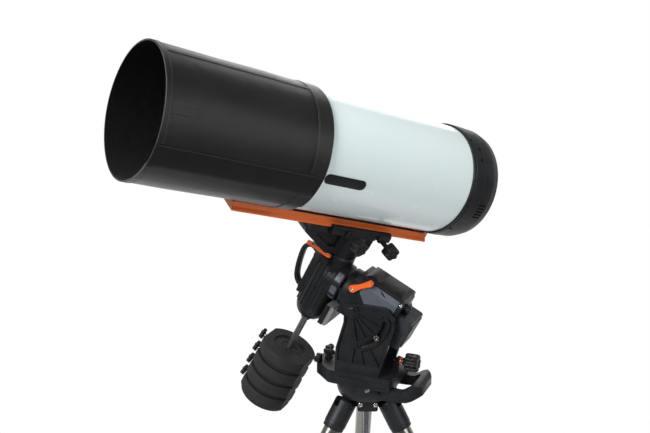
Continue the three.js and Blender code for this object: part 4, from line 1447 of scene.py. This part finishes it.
def side_plate(side):
    """A side plate: a thin web under a raised rim, ribs that fan from the pivot, and the latitude slot."""
    node = "side_plate_near" if side < 0 else "side_plate_far"

    def between(near, far):
        return (-far, -near) if side < 0 else (near, far)

    def slot_band(half_width, reach):
        outline = arc_band(SLOT_RADIUS - half_width, SLOT_RADIUS + half_width, SLOT_HIGH, SLOT_LOW)
        return slab(outline, *reach, "xz")

    raised = between(PLATE_INNER + 6, PLATE_OUTER)
    through = between(PLATE_INNER - 10, PLATE_OUTER + 20)
    rim = combined([slab(plate_outline(), *raised, "xz")], [slab(plate_outline(6), *through, "xz")])
    web = slab(plate_outline(), *between(PLATE_INNER, PLATE_INNER + 8), "xz")
    step = slot_band(12.4, between(PLATE_OUTER - 3, PLATE_OUTER + 9))
    surround = combined([slot_band(16, raised)], [step])
    boss = bar("y", *between(PLATE_INNER, PLATE_OUTER + 3), 18, 0, 0, 72)
    collar = bar("y", *between(PLATE_INNER, PLATE_OUTER + 1), 22, 0, 0, 72)
    ribs = []
    for angle in (-4, -24, -42, -60, -80):
        rib = block([14, SLOT_RADIUS - 10], raised, [-1.9, 1.9])
        ribs.append(moved(rib, turned_by(-angle, "Y")))
    for x, z, angle in ((8, -118, -100), (62, -118, -60), (30, -118, -78)):
        brace = moved(block([-4, 62], raised, [-1.9, 1.9]), turned_by(-angle, "Y"))
        ribs.append(moved(brace, Matrix.Translation((x, 0, z))))
    foot = slab([(-49, -158), (98, -158), (86, DECK_TOP + 0.3), (-51, DECK_TOP + 0.3)], *raised, "xz")
    whole = slab(plate_outline(), *between(PLATE_INNER - 1, PLATE_OUTER + 2), "xz")
    body = combined([web, rim, surround, *ribs, foot], within=whole)
    slot = slot_band(7, through)
    pin_hole = bar("y", *through, 9.3, 0, 0, 48)
    remade(node, combined([body, collar, boss], [slot, pin_hole]), PIVOT, 0.9)


def slot_strip(side):
    """The dark red index strips that line the two edges of the slot's lower part."""
    bands = [arc_band(SLOT_RADIUS + rim, SLOT_RADIUS + rim + 1.5, -44, -70) for rim in (-6.9, 5.4)]
    reach = ordered(side * (PLATE_INNER + 1), side * (PLATE_INNER + 4))
    name = "slot_strip_near" if side < 0 else "slot_strip_far"
    strips = combined([slab(band, *reach, "xz") for band in bands])
    detail(name, strips, PIVOT, "orange_paint", "side_plate_near", 0.2, INDEX_RED)


def latitude_pivot_pin():
    low, high = span("latitude_pivot_pin", PIVOT)
    shank = bar("y", low.y + 5, high.y - 5, 9, 0, 0, 48)
    ends = ((low.y, 1), (high.y, -1))
    heads = [bar("y", *ordered(end, end + way * 5.7), 13, 0, 0, 6) for end, way in ends]
    washers = [bar("y", *ordered(end + way * 4.6, end + way * 5.8), 15.5, 0, 0, 48) for end, way in ends]
    remade("latitude_pivot_pin", combined([shank, *heads, *washers]), PIVOT, 0.8, DARK_FASTENER)


def azimuth_lock_knob():
    low, high = span("azimuth_lock_knob", PIVOT)
    radius = (high.x - low.x) / 2
    length = high.z - low.z
    at = PIVOT @ Matrix.Translation(((low.x + high.x) / 2, 0, low.z))
    wing = [(radius * x, 7.5 * y) for x, y in circle(1, 48)]
    steps = [(0.5, 0), (0.9, 0.8), (1, 3), (1, 10), (0.93, 13), (0.7, 14), (0.2, 12.5)]
    head = skinned([[(x * size, y * size, length - 14 + rise) for x, y in wing] for size, rise in steps])
    stem = turned([(0, 0), (12, 0), (12, 3), (8, 6), (8, length - 13), (0, length - 13)], 48)
    remade("azimuth_lock_knob", combined([head, stem]), at, 0.5)


def azimuth_screw(node, side):
    low, high = span(node, PIVOT)
    radius = (high.x - low.x) / 2
    length = high.y - low.y
    face = high.y if side < 0 else low.y
    turn = Matrix.Rotation(math.pi / 2 if side < 0 else -math.pi / 2, 4, "X")
    at = PIVOT @ Matrix.Translation(((low.x + high.x) / 2, face, (low.z + high.z) / 2)) @ turn
    head = knob_head(radius, 10, length - 14, 14, 0.06)
    stem = turned([(0, 0), (5, 0), (5, length - 13), (0, length - 13)], 32)
    remade(node, combined([head, stem]), at, 0.4)


def latitude_knob():
    """The big lobed altitude knob, with its bright screw and an orange washer at the lug."""
    low, high = span("latitude_knob", PIVOT)
    radius = (high.y - low.y) / 2
    start = low.x
    level = (low.z + high.z) / 2
    at = PIVOT @ Matrix.Translation((start, 0, level)) @ Matrix.Rotation(math.pi / 2, 4, "Y")
    length = high.x - start
    head = knob_head(radius, 8, length - 40, 40, 0.12)
    end = length - 39
    nose = turned([(0, 26), (10, 26), (11, 27), (11, 31), (14, 34), (14, end), (0, end)], 64)
    waist = hoop(radius + 4, radius * 0.86, length - 21.5, length - 18.5, 96)
    remade("latitude_knob", combined([head, nose], [waist]), at, 0.5)
    screw = turned([(0, 0), (6, 0), (6, 28), (0, 28)], 32)
    detail("latitude_screw", screw, at, "polished_steel", "latitude_knob", 0.4, BRIGHT_STEEL)
    washer = hoop(12.5, 6.2, 18.4, 22.4, 64)
    detail("latitude_washer", washer, at, "orange_paint", "latitude_knob", 0.2)


def toggle_latch():
    """A small bright toggle on the near side of the drum."""
    place = Vector((58, -89, -232))
    lever = slab([(-9, -3), (6, -3), (9, 2), (7, 5), (0, 3), (-9, 3)], -2, 2, "xz")
    boss = bar("y", -2, 5, 4, 0, 0, 24)
    toggle = moved(combined([lever, boss]), Matrix.Translation(place) @ turned_by(-30, "Y"))
    detail("drum_toggle", toggle, PIVOT, "polished_steel", "azimuth_base", 0.6, BRIGHT_STEEL)


# ---- The tripod ----

LEGS = ("right", "back", "left")


def leg_frame(side):
    """Z runs down the leg from its hinge, and X faces the leg's clamp knob."""
    outward = axis_of(f"clamp_knob_spin_{side}")
    down = axis_of(f"leg_slide_{side}")
    return local_frame(place_of(f"leg_fold_{side}"), outward, down.cross(outward), down)


def hub_turn(side, offset=0):
    """A turn about the pillar from X to a leg's hinge, with degrees added."""
    hinge = PILLAR.inverted() @ place_of(f"leg_fold_{side}")
    return turned_by(math.degrees(math.atan2(hinge.y, hinge.x)) + offset, "Z")


HINGE = PILLAR.inverted() @ place_of("leg_fold_right")
HINGE_REACH = math.hypot(HINGE.x, HINGE.y)
HINGE_DROP = HINGE.z


def tripod_hub():
    """The hub: a core under a flange, a bored lug for each leg, and a pad between each pair of legs."""
    low, high = span("tripod_hub", PILLAR)
    top = high.z
    core = turned([(0, low.z), (35, low.z), (38, low.z + 3), (38, top), (0, top)], 96)
    flange = turned([(0, top - 9), (55, top - 9), (56, top - 8), (56, top), (0, top)], 96)
    arms = []
    for side in LEGS:
        lug = combined(
            [
                block([30, HINGE_REACH], [-12, 12], [HINGE_DROP - 13, HINGE_DROP + 13]),
                bar("y", -12, 12, 13, HINGE_REACH, HINGE_DROP, 48),
            ],
            [bar("y", -20, 20, 5.3, HINGE_REACH, HINGE_DROP, 32)],
        )
        pad = slab(mirrored([(30, 30), (66, 30), (72, 24)]), HINGE_DROP - 10, top)
        arms += [moved(lug, hub_turn(side)), moved(pad, hub_turn(side, -60))]
    remade("tripod_hub", combined([core, flange, *arms]), PILLAR, 1.2)


def hub_bolts():
    """Two bright bolt heads on each pad of the hub."""
    for side in LEGS:
        turn = hub_turn(side, -60)
        out = turn.to_3x3() @ WORLD_X
        for name, across in (("left", -22), ("right", 22)):
            place = turn @ Vector((72, across, HINGE_DROP + 12.5))
            bolted(f"hub_bolt_{side}_{name}", place, out, 6.8, "tripod_hub", PILLAR, depth=6)


def leg_sleeve(side, at):
    """A forked black sleeve: the slot takes the hub's lug and the bore takes the bright tube."""
    node = f"leg_sleeve_{side}"
    low, high = span(node, at)
    top = low.z
    end = high.z
    barrel = turned([
        (0, top), (26, top), (30, top + 1.5), (33, top + 6), (33, end - 14), (31.8, end - 12),
        (31.8, end - 3), (30.8, end), (0, end),
    ], 96)
    bore = bar("z", 29.7, end + 1, 25.7, 0, 0, 96)
    fork = block([-40, 40], [-12.3, 12.3], [top - 2, 16])
    seats = [bar("y", *ordered(29.5 * sign, 40 * sign), 8.5, 0, 0, 40) for sign in (-1, 1)]
    pin = bar("y", -28.8, 28.8, 5, 0, 0, 32)
    heads = [bar("y", *ordered(28 * sign, 31.5 * sign), 7, 0, 0, 6) for sign in (-1, 1)]
    sleeve = combined([barrel], [bore, fork, *seats])
    remade(node, combined([sleeve, pin, *heads]), at, 1.2)


def upper_leg(side, at):
    """The bright tube and, in black, the collar that clamps the lower tube."""
    node = f"upper_leg_{side}"
    low, high = span(node, at)
    end = high.z
    tube = hoop(25.4, 22.6, low.z, end - 5, 96)
    remade(node, tube, at, 0.5)
    collar = turned([
        (25.5, end - 50), (31, end - 50), (33, end - 46), (33, end - 30), (31.5, end - 28),
        (31.5, end - 22), (33, end - 20), (33, end - 2), (31, end), (22.6, end), (22.6, end - 4),
        (25.5, end - 4),
    ], 96, close=True)
    lug = block([29, 42], [-12, 12], [end - 40, end - 4])
    split = block([24, 50], [-1, 1], [end - 60, end + 10])
    detail(f"leg_collar_{side}", combined([collar, lug], [split]), at, "black_casting", node, 1.0)


def lower_leg(side, at):
    node = f"lower_leg_{side}"
    low = span(node, at)[0]
    tube = hoop(21, 18.5, low.z, 1046, 96)
    remade(node, tube, at, 0.5)
    ground = at.inverted() @ Vector((0, 0, 0))
    up = (at.inverted().to_3x3() @ WORLD_Z).normalized()
    turn = up.to_track_quat("Z", "Y").to_matrix().to_4x4()
    below = block([-1500, 1500], [-1500, 1500], [-300, 0.2])
    floor = moved(below, Matrix.Translation(ground) @ turn)
    profile = [
        (0, 1035), (23, 1035), (24, 1037), (24, 1044), (25.5, 1048), (25.5, 1052), (24.5, 1054),
        (26, 1060), (27, 1064), (27, 1140), (0, 1140),
    ]
    boot = combined([turned(profile, 72)], [floor, bar("z", 1000, 1045, 21.1, 0, 0, 64)])
    detail(f"leg_boot_{side}", boot, at, "black_plastic", node, 1.0, RUBBER)


def clamp_knob(side, at):
    node = f"clamp_knob_{side}"
    low, high = span(node, at)
    radius = (high.y - low.y) / 2
    length = high.x - low.x
    middle = (low.z + high.z) / 2
    place = at @ Matrix.Translation((low.x, 0, middle)) @ Matrix.Rotation(math.pi / 2, 4, "Y")
    head = knob_head(radius, 5, length - 16, 16, 0.16)
    stem = turned([(0, 0), (5, 0), (5, length - 18), (9, length - 15), (0, length - 15)], 40)
    remade(node, combined([head, stem]), place, 0.4)


def centre_rod():
    low, high = span("centre_rod", PILLAR)
    rod = turned([(0, low.z), (7.5, low.z), (9, low.z + 2), (9, high.z), (0, high.z)], 48)
    remade("centre_rod", rod, PILLAR, 0.3, ROD_STEEL)


def high_reach(node):
    """How far a CAD node reaches from the pillar's axis."""
    back = PILLAR.inverted()
    points = [back @ vertex.co for vertex in frame["nodes"][node].data.vertices]
    return max(math.hypot(point.x, point.y) for point in points)


def spreader_tray():
    """A three-armed tray with a raised rim round the middle and lightening holes in the arms."""
    low, high = span("spreader_tray", PILLAR)
    base = low.z
    top = high.z
    disc = turned([
        (0, base), (77, base), (80, base + 3), (80, top), (75, top), (74, top - 4), (0, top - 4),
    ], 128)
    arms = []
    holes = [bar("z", base - 4, top + 4, 9.5, 0, 0, 48)]
    reach = high_reach("spreader_tray") - 14
    for side in LEGS:
        turn = hub_turn(side)
        arm = slab([
            (70, -20), (120, -14), (reach, -14), (reach + 12, -8), (reach + 14, 0), (reach + 12, 8),
            (reach, 14), (120, 14), (70, 20),
        ], base, top - 1)
        arms.append(moved(arm, turn))
        for distance in (130, 170, 210):
            holes.append(moved(bar("z", base - 4, top + 4, 7, distance, 0, 32), turn))
    for side in LEGS:
        for distance, radius in ((34, 6), (56, 9)):
            hole = bar("z", base - 4, top + 4, radius, distance, 0, 40)
            holes.append(moved(hole, hub_turn(side, 60)))
    remade("spreader_tray", combined([disc, *arms], holes), PILLAR, 0.8)


def tray_knob():
    low, high = span("tray_knob", PILLAR)
    radius = (high.y - low.y) / 2
    head = moved(knob_head(radius, 6, 0, high.z - low.z, 0.14), Matrix.Rotation(math.pi, 4, "X"))
    head = moved(head, Matrix.Translation((0, 0, high.z)))
    remade("tray_knob", combined([head], [bar("z", low.z - 5, high.z + 5, 9.5, 0, 0, 40)]), PILLAR, 0.3)


# ---- What stays as it is ----


def hidden_gears():
    """The sealed worm and worm wheels keep their CAD shapes under a machined finish."""
    for node in ("ra_worm", "ra_worm_wheel", "dec_worm_wheel"):
        kept = frame["nodes"][node]
        kept.data.materials.clear()
        look = LOOKS["bronze"] if SLOT_OF[node] == "bronze" else BRIGHT_STEEL
        kept.data.materials.append(look)


# ---- The set ----


def set_material(name, dark, light):
    look = Look(name, 0.85, 0.0, Specular_IOR_Level=0.1)
    look.colours(look.grain(look.places(), 1.5, 3), [(0.3, dark), (0.7, light)])
    return look.material


def floor():
    made = as_object(turned([(0, -0.02), (1.3, -0.02), (1.3, 0), (0, 0)], 128))
    made.name = "floor"
    made.data.materials.append(set_material("pale_floor", (0.76, 0.76, 0.76), (0.79, 0.79, 0.79)))


def area_light(name, place, target, size, power):
    data = bpy.data.lights.new(name, "AREA")
    data.shape = "DISK"
    data.size = size
    data.energy = power
    light = bpy.data.objects.new(name, data)
    bpy.context.scene.collection.objects.link(light)
    light.location = place
    light.rotation_mode = "QUATERNION"
    light.rotation_quaternion = (Vector(target) - Vector(place)).to_track_quat("-Z", "Y")


def eased(tree, source, low, high, start, end):
    """A value eased from start to end as its source climbs from low to high."""
    spread = tree.nodes.new("ShaderNodeMapRange")
    spread.interpolation_type = "SMOOTHSTEP"
    for socket, value in (("From Min", low), ("From Max", high), ("To Min", start), ("To Max", end)):
        spread.inputs[socket].default_value = value
    tree.links.new(source, spread.inputs["Value"])
    return spread.outputs["Result"]


def backdrop(world):
    """A low white backdrop behind the telescope. The rest of the room is dimmer."""
    tree = world.node_tree
    background = tree.nodes["Background"]
    background.inputs["Color"].default_value = (1, 1, 1, 1)
    place = tree.nodes.new("ShaderNodeTexCoord").outputs["Generated"]
    facing = tree.nodes.new("ShaderNodeVectorMath")
    facing.operation = "DOT_PRODUCT"
    facing.inputs[1].default_value = Vector((-0.4, 0.917, 0)).normalized()
    tree.links.new(place, facing.inputs[0])
    parts = tree.nodes.new("ShaderNodeSeparateXYZ")
    tree.links.new(place, parts.inputs[0])
    behind = eased(tree, facing.outputs["Value"], -0.2, 0.7, 0.0, 1.0)
    below = eased(tree, parts.outputs["Z"], 0.08, 0.4, 1.0, 0.15)
    both = tree.nodes.new("ShaderNodeMath")
    both.operation = "MULTIPLY"
    tree.links.new(behind, both.inputs[0])
    tree.links.new(below, both.inputs[1])
    strength = tree.nodes.new("ShaderNodeMapRange")
    strength.inputs["To Min"].default_value = 0.2
    strength.inputs["To Max"].default_value = 1.0
    tree.links.new(both.outputs[0], strength.inputs["Value"])
    tree.links.new(strength.outputs["Result"], background.inputs["Strength"])


def studio():
    world = bpy.data.worlds.new("studio")
    bpy.context.scene.world = world
    world.use_nodes = True
    backdrop(world)
    aim = (-0.2, 0.0, 1.4)
    area_light("key", (-1.4, -3.2, 3.7), aim, 2.6, 280)
    area_light("side", (3.2, -1.8, 2.6), aim, 2.4, 55)
    area_light("back", (-1.0, 3.0, 3.0), aim, 2.5, 20)
    bpy.context.scene.view_settings.view_transform = "Standard"


def camera():
    """The photograph's view: three-quarter from the near side, a little above."""
    data = bpy.data.cameras.new("camera")
    data.sensor_width = 36
    data.lens = 47.34
    data.clip_end = 200
    made = bpy.data.objects.new("camera", data)
    bpy.context.scene.collection.objects.link(made)
    made.location = PIVOT @ Vector((862.08, -2244.58, 823.99))
    target = PIVOT @ Vector((-118.7, 0, 251.5))
    made.rotation_mode = "QUATERNION"
    roll = Matrix.Rotation(math.radians(0.3), 3, "Z").to_quaternion()
    made.rotation_quaternion = (target - made.location).to_track_quat("-Z", "Y") @ roll
    bpy.context.scene.camera = made


camera()
studio()
floor()

main_tube()
label_plate()
rear_cell()
rear_cell_screws()
vent_grille()
back_plate_screws()
focus_knob()
optics()
front_cell()
lens_cell()
shield = remade("dew_shield", dew_shield(), TUBE, 0.3)
line_inside(shield, SHIELD_RADIUS)
trim = shield_trim()

dovetail_rail()
saddle()
saddle_jaw()
saddle_knob("saddle_knob_rear")
saddle_knob("saddle_knob_front")

dec_housing()
collar_windows()
dec_motor_cover()
dec_motor_case()
ra_clutch_lever()
dec_clutch_lever()
carry_handle()
counterweight_shaft()
for number in range(1, 5):
    counterweight(number)
    weight_knob(number)
shaft_end_stop()

ra_housing()
ra_side_panels()
ra_drum_band()
ra_motor_cover()
ra_rear_box()
latitude_lock_bolt()

azimuth_base()
for face in (-1, 1):
    side_plate(face)
    slot_strip(face)
latitude_pivot_pin()
azimuth_lock_knob()
azimuth_screw("azimuth_screw_near", -1)
azimuth_screw("azimuth_screw_far", 1)
latitude_knob()
toggle_latch()

tripod_hub()
hub_bolts()
centre_rod()
spreader_tray()
tray_knob()
for leg in LEGS:
    down_leg = leg_frame(leg)
    leg_sleeve(leg, down_leg)
    upper_leg(leg, down_leg)
    lower_leg(leg, down_leg)
    clamp_knob(leg, down_leg)
hidden_gears()
